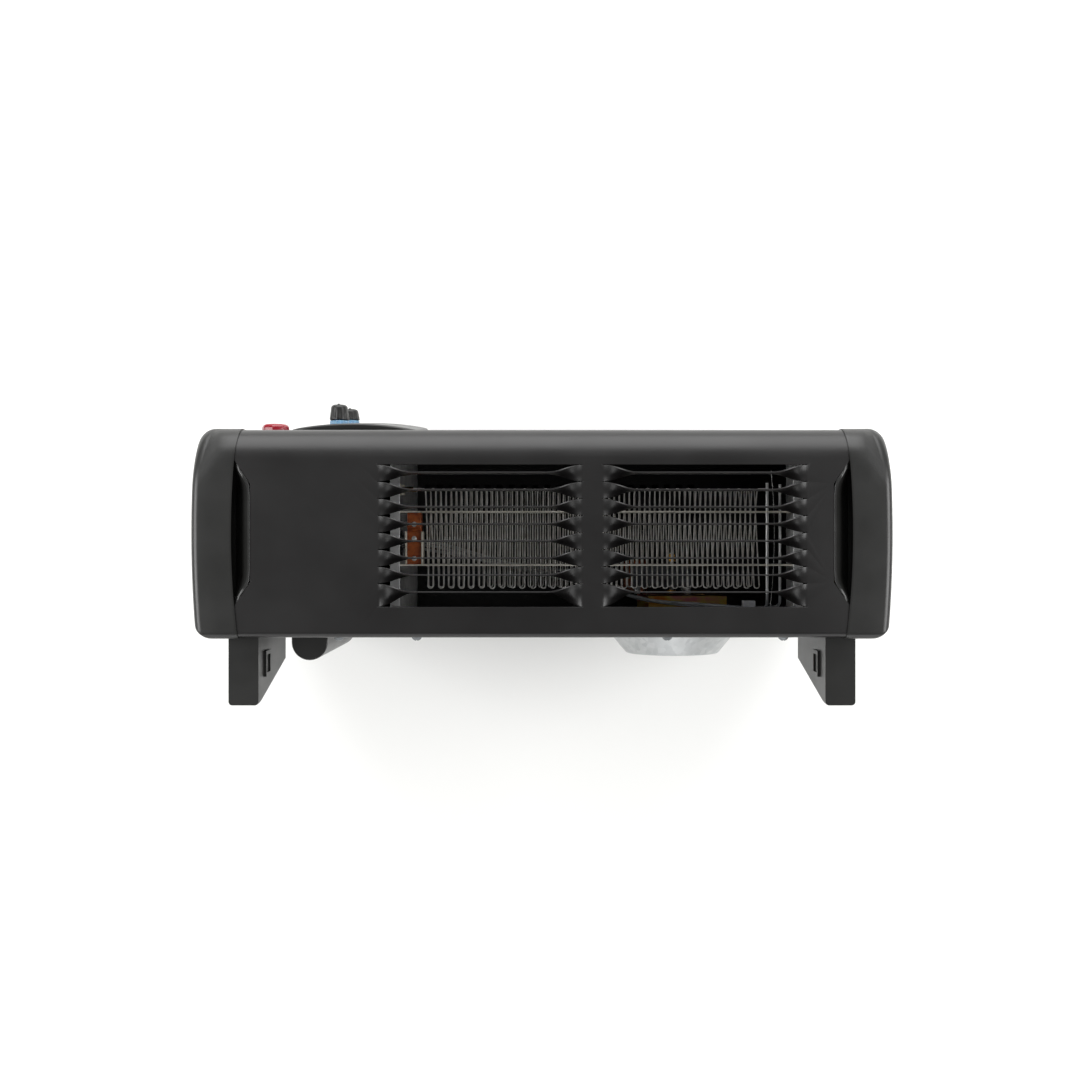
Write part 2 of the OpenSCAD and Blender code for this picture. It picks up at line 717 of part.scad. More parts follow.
// Slanted plate: an arc across its width, further out towards its bottom edge
module plate_solid(inset) intersection() {
    translate([plate_x, y_front - (plate_top_out + plate_low_out) / 2, plate_z])
        rotate([-plate_slant, 0, 0]) translate([0, plate_arc_r, -plate_h])
            cylinder(h = 2 * plate_h, r = plate_arc_r - inset, $fn = 180);
    translate([plate_x, 0, plate_z])
        along_y(y_front - 2 * plate_low_out, inset > 0 ? y_front + slack : y_front)
            round_plate(plate_w - 2 * inset, plate_h - 2 * inset, plate_r - inset);
}
module control_plate() color(plastic) on_axis() difference() {
    plate_solid(0);
    plate_solid(plate_wall);
    for (z = control_z)
        rod_y_between(y_front - 2 * plate_low_out, y_front, knob_x, z, ring_r + fit_gap);
}

module dial_ring(i) on_axis() difference() {
    rod_y_between(y_front - ring_reach[i], y_front, knob_x, control_z[i], ring_r);
    rod_y_between(y_front - 2 * ring_reach[i], y_front + slack, knob_x, control_z[i],
                  bushing_r + fit_gap);
}
module power_dial_ring() color("#a9cfe6") dial_ring(0);
module thermostat_dial_ring() color("#a9cfe6") dial_ring(1);

switch_w = 34;
switch_h = 30;
switch_d = 22;
thermostat_d = 28;
body_back = 4;
bushing_short = 2;
collar_r = 6;
collar_t = 3;
module rotary_body(i, depth) on_axis() {
    z = control_z[i];
    hollow_y = inner_y + depth - body_back;
    difference() {
        union() {
            block([knob_x - switch_w / 2, inner_y, z - switch_h / 2],
                  [knob_x + switch_w / 2, inner_y + depth, z + switch_h / 2]);
            rod_y_between(y_front - ring_reach[i] + bushing_short, inner_y + slack, knob_x, z,
                          bushing_r);
        }
        rod_y_between(y_front - 2 * ring_reach[i], hollow_y, knob_x, z, spindle_r + run_gap);
        rod_y_between(hollow_y - collar_t - 2 * face_gap, hollow_y, knob_x, z, collar_r + face_gap);
    }
}
module power_switch() color("#3a3b3f") rotary_body(0, switch_d);
module thermostat_body() color("#d9cdb4") rotary_body(1, thermostat_d);
knob_cap = 3;
module spindle(z, depth, knob_out) on_axis() {
    back = inner_y + depth - body_back - face_gap;
    rod_y_between(y_front - knob_out + knob_cap, back, knob_x, z, spindle_r);
    rod_y_between(back - collar_t, back, knob_x, z, collar_r);
}
module power_spindle() color(zinc) spindle(control_z[0], switch_d, power_knob_out);
module thermostat_spindle() color(zinc)
    spindle(control_z[1], thermostat_d, thermostat_knob_out);

knob_dome_r = 3.2;
flute_n = 12;
flute_r = 1.1;
pointer_w = 1.6;
pointer_h = 0.8;
press_gap = 0.02;
module knob(i, knob_out) on_axis() {
    z = control_z[i];
    base_y = y_front - ring_reach[i] - face_gap;
    tip_y = y_front - knob_out + pointer_h;
    l = base_y - tip_y;
    difference() {
        union() {
            translate([knob_x, base_y, z]) rotate([90, 0, 0]) rotate_extrude() {
                difference() {
                    union() {
                        polygon([[0, 0], [knob_r, 0], [knob_tip_r, l - knob_dome_r], [0, l - knob_dome_r]]);
                        square([knob_tip_r - knob_dome_r, l]);
                        translate([knob_tip_r - knob_dome_r, l - knob_dome_r]) circle(knob_dome_r);
                    }
                    translate([-2 * knob_r, 0]) square([2 * knob_r, 2 * l]);
                }
            }
            block([knob_x - pointer_w / 2, tip_y - pointer_h, z],
                  [knob_x + pointer_w / 2, tip_y + slack, z + knob_tip_r - knob_dome_r]);
        }
        for (i = [0:flute_n - 1]) let (a = 360 * (i + 0.5) / flute_n, at = knob_r + flute_r / 2)
            rod_y_between(tip_y + knob_dome_r, base_y + slack, knob_x + at * cos(a),
                          z + at * sin(a), flute_r);
        rod_y_between(y_front - knob_out + knob_cap, base_y + slack, knob_x, z,
                      spindle_r + press_gap);
    }
}
module power_knob() color(plastic) knob(0, power_knob_out);
module thermostat_knob() color(plastic) knob(1, thermostat_knob_out);

lamp_stem_r = 7;
lamp_stem_l = 12;
lamp_wall = 1.5;
module pilot_lens() color("#a3202c") on_axis()
    turned_y(y_front, lamp_x, lamp_z) difference() {
        union() {
            translate([0, lamp_round - lamp_out]) square([lamp_r, lamp_out - lamp_round]);
            translate([0, -lamp_out]) square([lamp_r - lamp_round, lamp_out]);
            translate([lamp_r - lamp_round, lamp_round - lamp_out]) circle(lamp_round);
            translate([0, -slack]) square([lamp_stem_r, slack + lamp_stem_l]);
        }
        translate([0, -lamp_out / 2]) square([lamp_stem_r - lamp_wall, 2 * lamp_stem_l]);
    }
lamp_bulb_r = 3;
lamp_plug_in = 6;
lamp_plug_out = 4;
module pilot_lamp() color("#e8b48c") on_axis() {
    plug_y = y_front + lamp_stem_l;
    rod_y_between(plug_y - lamp_plug_in, plug_y + lamp_plug_out, lamp_x, lamp_z,
                  lamp_stem_r - lamp_wall - fit_gap);
    rod_y_between(y_front - lamp_out / 2 + slack, plug_y, lamp_x, lamp_z, lamp_bulb_r);
}

// Heating element: two zig-zag wires whose planes cross, seen from the end, like an X
tilt = atan(element_half_z / element_half_y);
half_u = norm([element_half_y, element_half_z]);
bend_r = leg_pitch / 2;
bend_a = [0, 60, 120, 180];
wire_shift = leg_pitch / 2;
leg_u = half_u - bend_r;
pin_in = 17;
pin_x = bulkhead_x - pin_in;
function leg_x(j, shift) = wire_x - shift - j * leg_pitch;
function wire_flat(shift, x_end) = concat(
    [[pin_x, -half_u]],
    [for (a = [270, 225, 180])
        [leg_x(0, shift) + bend_r + bend_r * cos(a), -leg_u + bend_r * sin(a)]],
    [for (j = [0:leg_n - 2], a = bend_a)
        [leg_x(j, shift) - bend_r + bend_r * cos(a), (j % 2 == 0 ? 1 : -1) * (leg_u + bend_r * sin(a))]],
    [for (a = [0, -45, -90])
        [leg_x(leg_n - 1, shift) - bend_r + bend_r * cos(a), -leg_u + bend_r * sin(a)]],
    [[x_end, -half_u]]);
function wire_path(shift, x_end, s) = [for (p = wire_flat(shift, x_end))
    [p[0], element_y + p[1] * cos(tilt), element_z + s * p[1] * sin(tilt)]];
function least_gap(path, skip) = min([for (i = [0:len(path) - 1], j = [i + skip:1:len(path) - 1])
    norm(path[i] - path[j])]);
module heating_wire(shift, x_end, s) on_axis() {
    path = wire_path(shift, x_end, s);
    echo(least_wire_gap = least_gap(path, 5) - wire_d);
    ring_tube(tube_rings(path, [0, -s * sin(tilt), cos(tilt)], wire_d / 2, 6));
}
module heating_wire_upper() color(nichrome) heating_wire(0, rod_x[0] + rod_r, -1);
module heating_wire_lower() color(nichrome) heating_wire(wire_shift, rod_x[1] + rod_r, 1);

wire_hole_r = wire_d / 2 + 0.5;
strip_over = 3;
function strip_mid(s) = element_y + s * strip_y;
rod_z = [element_z + element_half_z, element_z - element_half_z];
module mica_strip(s) on_axis() {
    dz = strip_y * tan(tilt);
    along_y(strip_mid(s) - strip_t / 2, strip_mid(s) + strip_t / 2) difference() {
        translate([far_x - strip_over - sheet_t, element_z - strip_h / 2])
            square([bulkhead_x - far_x + 2 * strip_over + sheet_t, strip_h]);
        for (j = [0:leg_n - 1]) {
            translate([leg_x(j, 0), element_z - s * dz]) circle(wire_hole_r, $fn = 24);
            translate([leg_x(j, wire_shift), element_z + s * dz]) circle(wire_hole_r, $fn = 24);
        }
        for (i = [0, 1]) translate([rod_x[i], rod_z[i]]) circle(rod_r + 0.1, $fn = 24);
    }
}
module mica_strip_front() color(mica) mica_strip(-1);
module mica_strip_rear() color(mica) mica_strip(1);

rod_over = 5;
module connecting_rods() color(zinc) on_axis() for (i = [0, 1])
    rod_y_between(element_y - element_half_y - rod_over, element_y + element_half_y + rod_over,
                  rod_x[i], rod_z[i], rod_r);

flange_w = 8;
flange_front = -48;
flange_rear = 60;
grommet_y = 8;
grommet_z = 206;
grommet_r = 10;
grommet_bore = 7;
strip_slot_gap = 0.2;
seat_gap = 0.05;
pin_y = element_y - element_half_y;
module strip_slots(x0, x1) for (s = [-1, 1])
    block([x0, strip_mid(s) - strip_t / 2 - strip_slot_gap, element_z - strip_h / 2 - strip_slot_gap],
          [x1, strip_mid(s) + strip_t / 2 + strip_slot_gap, element_z + strip_h / 2 + strip_slot_gap]);
module bulkhead() color(zinc) on_axis() difference() {
    union() {
        block([bulkhead_x - sheet_t, inner_y, z_base + sheet_t], [bulkhead_x, panel_y, bulkhead_z]);
        block([bulkhead_x - flange_w, flange_front, bulkhead_z - sheet_t],
              [bulkhead_x, flange_rear, bulkhead_z]);
    }
    strip_slots(bulkhead_x - 2 * sheet_t, bulkhead_x + slack);
    for (z = rod_z)
        rod_x_between(bulkhead_x - 2 * sheet_t, bulkhead_x + slack, pin_y, z, bush_r + seat_gap);
    rod_x_between(bulkhead_x - 2 * sheet_t, bulkhead_x + slack, grommet_y, grommet_z,
                  grommet_r + seat_gap);
    for (i = [0:groove_n - 1]) front_groove(i, sheet_t + fit_gap);
}
far_low = 212;
module far_bracket() color(zinc) on_axis() difference() {
    union() {
        block([far_x, inner_y, far_low], [far_x + sheet_t, panel_y, bulkhead_z]);
        block([far_x, flange_front, bulkhead_z - sheet_t], [far_x + flange_w, flange_rear, bulkhead_z]);
        block([far_x - flange_w, inner_y, far_low], [far_x + sheet_t, inner_y + sheet_t, bulkhead_z]);
        block([far_x - flange_w, panel_y - sheet_t, far_low], [far_x + sheet_t, panel_y, bulkhead_z]);
    }
    strip_slots(far_x - sheet_t, far_x + 2 * sheet_t);
}

bush_l = 13;
bush_in = 7;
bush_lip = 1.5;
bush_lip_t = 3;
module terminal_bushes() color(porcelain) on_axis() for (z = rod_z) difference() {
    union() {
        rod_x_between(bulkhead_x - bush_in, bulkhead_x + bush_l - bush_in, pin_y, z, bush_r);
        rod_x_between(bulkhead_x, bulkhead_x + bush_lip_t, pin_y, z, bush_r + bush_lip);
    }
    rod_x_between(bulkhead_x - bush_l, bulkhead_x + bush_l, pin_y, z, pin_r + seat_gap);
}
module terminal_pins() color(brass) on_axis() for (z = rod_z)
    rod_x_between(pin_x, bulkhead_x + bush_l, pin_y, z, pin_r);

cutout_w = 12;
cutout_h = 14;
cutout_x = pin_x;
insulator_t = 1.5;
insulator_front = -2;
insulator_h = 18;
rivet_r = 2.2;
rivet_h = 1.4;
rivet_ball = 3;
rivet_y = [-8, 4, 21];
cutout_top = element_z + cutout_h / 2;
cutout_groove_w = 2.4;
cutout_groove_d = 2;
module thermal_cutout() color(phenolic) on_axis() difference() {
    block([cutout_x - cutout_w / 2, strip_mid(-1) + strip_t / 2, element_z - cutout_h / 2],
          [cutout_x + cutout_w / 2, strip_mid(1) - strip_t / 2, cutout_top]);
    block([cutout_x - cutout_w, insulator_front - cutout_groove_w, cutout_top - cutout_groove_d],
          [cutout_x + cutout_w, insulator_front, cutout_top + slack]);
}
module cutout_insulators() color(porcelain) on_axis() for (s = [-1, 1])
    translate([cutout_x + s * (cutout_w + insulator_t) / 2, 0, 0])
        block([-insulator_t / 2, insulator_front, element_z - insulator_h / 2],
              [insulator_t / 2, strip_mid(1) - strip_t / 2, element_z + insulator_h / 2]);
module cutout_rivets() color(zinc) on_axis() for (y = rivet_y)
    translate([cutout_x, y, cutout_top]) intersection() {
        cylinder(h = rivet_h, r = rivet_r);
        translate([0, 0, rivet_h - rivet_ball]) sphere(rivet_ball);
    }

grommet_lip = 1.5;
module lead_grommet() color("#1d1d1f") on_axis() {
    x0 = bulkhead_x - sheet_t;
    difference() {
        union() {
            rod_x_between(x0 - grommet_lip, bulkhead_x + grommet_lip, grommet_y, grommet_z, grommet_r);
            for (x = [x0 - grommet_lip, bulkhead_x])
                rod_x_between(x, x + grommet_lip, grommet_y, grommet_z, grommet_r + grommet_lip);
        }
        rod_x_between(x0 - 2 * grommet_r, bulkhead_x + 2 * grommet_r, grommet_y, grommet_z, grommet_bore);
    }
}

// Fan: motor on the front of a bridge bracket, impeller behind it in the intake
bracket_shift = 7;
bracket_x = fan_x - bracket_shift;
bracket_foot = 12;
bracket_foot_z = bracket_h + bracket_foot / 2;
bracket_screw_x = 22;
bracket_screws = [for (sx = [-1, 1], sz = [-1, 1])
    [bracket_x + sx * bracket_screw_x, fan_z + sz * bracket_foot_z]];
bracket_hole_r = 7;
bracket_hole_at = [22, 34];
bearing_r = 5;
bearing_l = 7;
core_w = 56;
core_h = 46;
core_d = 20;
pillar_l = 6;
pillar_r = 3;
pillar_in = 5;
core_y = bracket_y - core_d - pillar_l;
plate_gap = 7;
plate_gap_y = core_y - plate_gap;
shaft_over = 4;
shaft_front = plate_gap_y - shaft_over;
impeller_gap = 8;
impeller_y = bracket_y + bracket_t + bearing_l / 2 + impeller_gap;
module fan_bracket() color(chromate) on_axis() difference() {
    union() {
        block([bracket_x - bracket_w / 2, bracket_y, fan_z - bracket_h],
              [bracket_x + bracket_w / 2, bracket_y + bracket_t, fan_z + bracket_h]);
        for (s = [-1, 1]) translate([bracket_x, 0, fan_z + s * (bracket_h - bracket_t / 2)])
            block([-bracket_w / 2, bracket_y, -bracket_t / 2], [bracket_w / 2, panel_y, bracket_t / 2]);
        for (s = [-1, 1]) translate([bracket_x, 0, fan_z + s * bracket_foot_z])
            block([-bracket_w / 2, panel_y - bracket_t, -bracket_foot / 2 - bracket_t / 2],
                  [bracket_w / 2, panel_y, bracket_foot / 2]);
    }
    rod_y_between(bracket_y - slack, bracket_y + bracket_t + slack, fan_x, fan_z, bearing_r + seat_gap);
    for (p = bracket_screws)
        rod_y_between(panel_y - 2 * bracket_t, panel_y + slack, p[0], p[1], screw_r + fit_gap);
    for (sx = [-1, 1], sz = [-1, 1])
        rod_y_between(bracket_y - slack, bracket_y + bracket_t + slack,
                      fan_x + sx * bracket_hole_at[0], fan_z + sz * bracket_hole_at[1], bracket_hole_r);
}
coil_h = 22;
coil_wrap = 5;
rotor_gap = 0.4;
core_out = 18;
core_left = fan_x - core_out;
limb_w = 10;
limb_x = core_left + core_w - limb_w / 2;
coil_w = 22;
module motor_core() color("#6d7076") on_axis() difference() {
    block([core_left, core_y, fan_z - core_h / 2],
          [core_left + core_w, core_y + core_d, fan_z + core_h / 2]);
    rod_y_between(core_y - slack, core_y + core_d + slack, fan_x, fan_z, rotor_r + rotor_gap);
    block([limb_x - coil_w / 2 - fit_gap, core_y - slack, fan_z - coil_h / 2 - fit_gap],
          [limb_x - limb_w / 2, core_y + core_d + slack, fan_z + coil_h / 2 + fit_gap]);
}
module motor_coil() color(copper) on_axis() difference() {
    block([limb_x - coil_w / 2, core_y - coil_wrap, fan_z - coil_h / 2],
          [limb_x + coil_w / 2, core_y + core_d + coil_wrap, fan_z + coil_h / 2]);
    block([limb_x - limb_w / 2 - fit_gap / 2, core_y - fit_gap / 2, fan_z - coil_h],
          [limb_x + limb_w / 2 + fit_gap / 2, core_y + core_d + fit_gap / 2, fan_z + coil_h]);
}
module motor_rotor() color("#9a9da2") on_axis() difference() {
    rod_y_between(core_y, core_y + core_d, fan_x, fan_z, rotor_r);
    rod_y_between(core_y - slack, core_y + core_d + slack, fan_x, fan_z, shaft_r);
}
module fan_shaft() color("#c9ccd0") on_axis()
    rod_y_between(shaft_front, impeller_y + blade_d, fan_x, fan_z, shaft_r);
module bearing(y) on_axis() difference() {
    rod_y_between(y - bearing_l / 2, y + bearing_l / 2, fan_x, fan_z, bearing_r);
    rod_y_between(y - bearing_l, y + bearing_l, fan_x, fan_z, shaft_r + run_gap);
}
module bearing_front() color(brass) bearing(plate_gap_y + bracket_t / 2);
module bearing_rear() color(brass) bearing(bracket_y + bracket_t / 2);
// Plate in front of the rotor that carries the front bearing on one leg against the core
strap_half = 11;
strap_over = 14;
module bearing_plate() color(chromate) on_axis() {
    difference() {
        block([core_left, plate_gap_y, fan_z - strap_half],
              [fan_x + strap_over, plate_gap_y + bracket_t, fan_z + strap_half]);
        rod_y_between(plate_gap_y - slack, plate_gap_y + bracket_t + slack, fan_x, fan_z,
                      bearing_r + seat_gap);
    }
    block([core_left, plate_gap_y, fan_z - strap_half],
          [core_left + bracket_t, core_y, fan_z + strap_half]);
}
module motor_pillars() color(zinc) on_axis() for (x = [core_left + pillar_in, limb_x], s = [-1, 1])
    rod_y_between(core_y + core_d, bracket_y, x, fan_z + s * (core_h / 2 - pillar_in), pillar_r);

blade_t = 1.8;
blade_root = 3;
hub_floor = 6;
hub_wall = 2;
boss_r = 4.5;
module blade(a) rotate(a) translate([hub_r - blade_root, 0, blade_d / 2]) rotate([blade_angle, 0, 0])
    translate([0, -blade_t / 2, -blade_d]) cube([impeller_r - hub_r + blade_root, blade_t, 2 * blade_d]);
module impeller() color("#3d4045") on_axis()
    translate([fan_x, impeller_y, fan_z]) rotate([-90, 0, 0]) difference() {
        union() {
            cylinder(h = blade_d, r = hub_r);
            intersection() {
                for (i = [0:blade_n - 1]) blade(360 * i / blade_n);
                cylinder(h = blade_d, r = impeller_r);
            }
        }
        translate([0, 0, -slack]) cylinder(h = blade_d + 2 * slack, r = shaft_r);
        translate([0, 0, hub_floor]) difference() {
            cylinder(h = blade_d, r = hub_r - hub_wall);
            cylinder(h = blade_d, r = boss_r);
        }
    }

guard_screw_at = guard_r + guard_rim / 2;
guard_screw_places = [for (a = [45, 135, 225, 315])
    [fan_x + guard_screw_at * cos(a), fan_z + guard_screw_at * sin(a)]];
guard_hub_r = 12;
guard_slot_w = 4;
guard_slot_in = 3;
module rear_guard() color("#c3c6ca") on_axis() {
    t = sheet_t;
    depth = guard_out;
    slot_l = guard_face_r - guard_hub_r - 2 * guard_slot_in;
    difference() {
        turned_y(y_rear, fan_x, fan_z) polygon([
            [guard_r - t, 0], [guard_r + guard_rim, 0], [guard_r + guard_rim, t], [guard_r, t],
            [guard_face_r, depth], [0, depth], [0, depth - t], [guard_face_r - t, depth - t]
        ]);
        for (i = [0:guard_slot_n - 1])
            translate([fan_x, 0, fan_z]) rotate([0, 360 * i / guard_slot_n, 0])
                translate([(guard_hub_r + guard_face_r) / 2, 0, 0])
                    along_y(y_rear + depth / 2, y_rear + 2 * depth)
                        round_plate(slot_l, guard_slot_w, guard_slot_w / 2 - round_less);
        for (p = guard_screw_places)
            rod_y_between(y_rear - slack, y_rear + t + slack, p[0], p[1], screw_r + fit_gap);
    }
}
module guard_screws() color(zinc) on_axis() for (p = guard_screw_places)
    screw_y(p[0], p[1], y_rear + sheet_t, sheet_screw_l);
module fan_screws() color(zinc) on_axis() for (p = bracket_screws)
    screw_y(p[0], p[1], panel_y + sheet_t, sheet_screw_l);

cover_low = cover_top - cover_l;
cover_floor = 4;
gland_r = 6.5;
gland_lip = 1.5;
gland_back = 3;
gland_out = 12;
module cover_outline(inset) {
    y0 = y_rear - sheet_t;
    reach = y_rear + cover_out - y0;
    translate([-cover_r + inset, 0]) square([2 * cover_r - 2 * inset, reach - cover_r]);
    translate([0, reach - cover_r]) circle(cover_r - inset);
}
module cable_cover() color(plastic) on_axis() difference() {
    translate([cover_x, y_rear - sheet_t]) difference() {
        along_z(cover_low, cover_top) intersection() {
            cover_outline(0);
            translate([-2 * cover_r, 0]) square(4 * cover_r);
        }
        translate([0, -slack]) along_z(cover_low + cover_floor, cover_top - cover_wall) intersection() {
            union() {
                cover_outline(cover_wall);
                translate([0, slack]) cover_outline(cover_wall);
            }
            translate([-2 * cover_r, 0]) square(4 * cover_r);
        }
    }
    rod_z_between(cover_low - slack, cover_low + cover_floor + slack, cover_x, gland_y,
                  gland_r + seat_gap);
}
gland_y = y_rear + cover_out - cover_r + gland_back;
module cord_gland() color("#1d1d1f") on_axis() {
    inside = cover_low + cover_floor;
    difference() {
        union() {
            rod_z_between(cover_low - gland_out, inside + gland_lip, cover_x, gland_y, gland_r);
            for (z = [cover_low - gland_lip, inside])
                rod_z_between(z, z + gland_lip, cover_x, gland_y, gland_r + gland_lip);
        }
        rod_z_between(cover_low - 2 * gland_out, inside + 2 * gland_out, cover_x, gland_y, cord_r);
    }
}

block_n = 3;
block_pitch = 11;
block_h = 16;
block_d = 14;
block_z = 250;
block_back = 6;
block_screw_r = 2.4;
block_wire_r = 1.8;
module terminal_block() color(porcelain) on_axis() difference() {
    block([cover_x - block_n * block_pitch / 2, panel_y - block_d, block_z - block_h / 2],
          [cover_x + block_n * block_pitch / 2, panel_y, block_z + block_h / 2]);
    for (i = [0:block_n - 1])
        translate([cover_x + (i - (block_n - 1) / 2) * block_pitch, 0, block_z]) {
            rod_y_between(panel_y - block_d - slack, panel_y - block_back, 0, 0, block_screw_r);
            rod_z_between(-block_h, block_h, 0, panel_y - block_d / 2, block_wire_r);
        }
}

// Insulated leads, as tubes through points chosen along their run. The runs were drawn for an end
// cap's inner edge at run_cap_x, and their ends move with the end caps.
run_cap_x = 234;
run_mid = 70;
function run_x(x) = x + (cap_x - run_cap_x) * max(-1, min(1, x / run_mid));
function run_points(points) = [for (p = points) [run_x(p[0]), p[1], p[2]]];
lead_r = 1.2;
lead_half = 1.5;
stub = 5;
switch_back = inner_y + switch_d;
thermostat_back = inner_y + thermostat_d;
coil_top = fan_z + coil_h / 2;
module lead(path) ring_tube(tube_rings(path, [0, 0.3, 1], lead_r, 8));
fan_lead_run = [
    [163, -30, 222], [157, -12, 212], [148, 2, 207], [138, 7, 206], [124, 8, 206], [108, 8, 205],
    [92, 10, 201], [74, 15, 195], [54, 21, 189], [32, 27, 184], [8, 31, 180], [-18, 34, 177],
    [-44, 35, 175], [-62, 36, 173], [-73, 37, 170]
];
function fan_lead(s) = concat(
    [for (d = [0, stub]) [knob_x, thermostat_back + d, 225 + s * lead_half]],
    [for (p = run_points(fan_lead_run)) p + s * [0, lead_half, lead_half]],
    [for (d = [stub, 0]) [run_x(-79), 38 + s * lead_half, coil_top + d]]);
module fan_leads() color(grey_lead) on_axis() for (s = [-1, 1]) lead(fan_lead(s));
rod_end = element_y + element_half_y + rod_over;
return_run_a = [
    [-190, 60, 264], [-189, 62.5, 259], [-187, 63, 253], [-183, 63, 249.5], [-172, 63, 249.5],
    [-160, 62, 247.5], [-130, 60, 241.5], [-100, 58, 236], [-80, 54, 232], [-60, 50, 228],
    [-24, 41, 222], [12, 32, 217], [46, 24.5, 212.5], [76, 18, 208.5], [98, 14.5, 206],
    [112, 11.6, 203.8], [124, 11.5, 203.5], [138, 12, 206], [146, 5, 222], [151, -10, 246],
    [156, -32, 275], [160, -44, 290]
];
return_run_b = [
    [-205, 61, 235.5], [-200, 63, 240], [-192, 63, 245], [-183, 63, 246.3], [-172, 63, 246.3],
    [-160, 62.5, 243], [-130, 62, 234.5], [-100, 59, 229.5], [-84, 56, 227], [-60, 49, 222],
    [-24, 40, 216], [12, 31, 211], [46, 21, 208.5], [76, 12, 207.5], [98, 7, 208],
    [112, 4.8, 208.4], [124, 4.5, 208.5], [136, 4, 212], [150, -3, 226], [161, -14, 250],
    [169, -32, 276], [172, -44, 290]
];
module return_leads() color(grey_lead) on_axis() {
    lead(concat([for (d = [0, stub]) [rod_x[0], rod_end + d, rod_z[0]]], run_points(return_run_a),
                [for (d = [stub, 0]) [run_x(160), switch_back + d, 295]]));
    lead(concat([for (d = [0, stub]) [rod_x[1], rod_end + d, rod_z[1]]], run_points(return_run_b),
                [for (d = [stub, 0]) [run_x(172), switch_back + d, 295]]));
}
pin_end = bulkhead_x + bush_l;
block_wire_z = block_z + block_h / 2;
block_wire_y = panel_y - block_d / 2;
module control_leads() color(grey_lead) on_axis() {
    lead(concat([for (d = [0, stub]) [pin_end + d, pin_y, rod_z[0]]],
                run_points([[150, -40, 276], [154, -43, 290], [156, -47, 300]]),
                [for (d = [stub, 0]) [run_x(156), switch_back + d, 304]]));
    lead(concat([for (d = [0, stub]) [pin_end + d, pin_y, rod_z[1]]], run_points([[150, -41, 235]]),
                [for (d = [stub, 0]) [run_x(155), thermostat_back + d, 235]]));
    for (s = [-1, 1]) lead(concat(
        [for (d = [-4, stub]) [cover_x + s * block_pitch, block_wire_y, block_wire_z + d]],
        [[cover_x + s * 10, 60, 276], [cover_x + s * 7, 32, 293], [cover_x + s * 3 - 4, 0, 301],
         [run_x(177 + s * 3), -34, 305]],
        [for (d = [stub, 0]) [run_x(177 + s * 3), switch_back + d, 306]]));
}

lead_clip_in = 39;
lead_clip_at = [far_x + lead_clip_in, 63, 248];
lead_clip_half = [5, 6, 6];
lead_clip_r = 4;
module lead_clip() color("#c9cbd0") on_axis() difference() {
    block(lead_clip_at - lead_clip_half,
          [lead_clip_at[0] + lead_clip_half[0], panel_y, lead_clip_at[2] + lead_clip_half[2]]);
    rod_x_between(lead_clip_at[0] - 2 * lead_clip_half[0], lead_clip_at[0] + 2 * lead_clip_half[0],
                  lead_clip_at[1], lead_clip_at[2], lead_clip_r);
}

casing();
back_panel();
base_plate();
end_cap_left();
end_cap_right();
grip_cup_left();
grip_cup_right();
foot_left();
foot_right();
foot_screws();
wall_spacer_left();
wall_spacer_right();
spacer_screws();
back_screws();
control_plate();
power_dial_ring();
thermostat_dial_ring();
power_switch();
thermostat_body();
power_spindle();
thermostat_spindle();
power_knob();
thermostat_knob();
pilot_lens();
pilot_lamp();
bulkhead();
far_bracket();
mica_strip_front();
mica_strip_rear();
heating_wire_upper();
heating_wire_lower();
connecting_rods();
terminal_bushes();
terminal_pins();
thermal_cutout();
cutout_insulators();
cutout_rivets();
lead_grommet();
fan_bracket();
motor_core();
motor_coil();
motor_pillars();
motor_rotor();
fan_shaft();
bearing_front();
bearing_rear();
bearing_plate();
impeller();
rear_guard();
guard_screws();
fan_screws();
cable_cover();
cord_gland();
terminal_block();
fan_leads();
return_leads();
control_leads();
lead_clip();
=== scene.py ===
"""Convector heater with a fan: sheet steel casing, mouldings, heating element and controls."""
import math
import random
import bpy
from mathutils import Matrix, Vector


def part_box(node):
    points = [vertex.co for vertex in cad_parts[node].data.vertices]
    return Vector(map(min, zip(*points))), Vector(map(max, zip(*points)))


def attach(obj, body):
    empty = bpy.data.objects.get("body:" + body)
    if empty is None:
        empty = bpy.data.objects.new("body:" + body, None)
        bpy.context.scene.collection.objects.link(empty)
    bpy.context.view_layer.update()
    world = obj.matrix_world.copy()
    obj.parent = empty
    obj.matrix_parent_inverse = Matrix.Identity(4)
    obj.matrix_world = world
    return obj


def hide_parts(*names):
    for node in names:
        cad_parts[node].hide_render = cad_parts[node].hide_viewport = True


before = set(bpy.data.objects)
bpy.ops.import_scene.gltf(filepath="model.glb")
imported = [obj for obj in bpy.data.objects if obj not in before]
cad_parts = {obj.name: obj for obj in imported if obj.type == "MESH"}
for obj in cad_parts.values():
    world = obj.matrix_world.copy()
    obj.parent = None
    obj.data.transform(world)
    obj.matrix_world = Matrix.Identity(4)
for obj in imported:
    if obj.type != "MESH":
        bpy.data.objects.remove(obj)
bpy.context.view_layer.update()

from types import SimpleNamespace

import bmesh
import bpy
from bpy.props import FloatProperty, FloatVectorProperty, IntProperty, PointerProperty
from mathutils import Quaternion, Vector
from mathutils.geometry import delaunay_2d_cdt

bl_info = {
    "name": "Convector Heater",
    "version": (1, 0, 0),
    "blender": (4, 5, 0),
    "location": "3D View > Sidebar > Heater",
    "description": "Dresses a convector heater with its sheet metal, mouldings, element and studio",
    "category": "Object",
}

# Mesh code works in millimetres, with y measured from the casing's middle plane
MM = 0.001
MID_Y = sum(corner.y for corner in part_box("casing")) / 2


def box_of(node):
    """Low and high corner of a node's box, in millimetres about the middle plane."""
    return [(c.x / MM, (c.y - MID_Y) / MM, c.z / MM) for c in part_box(node)]


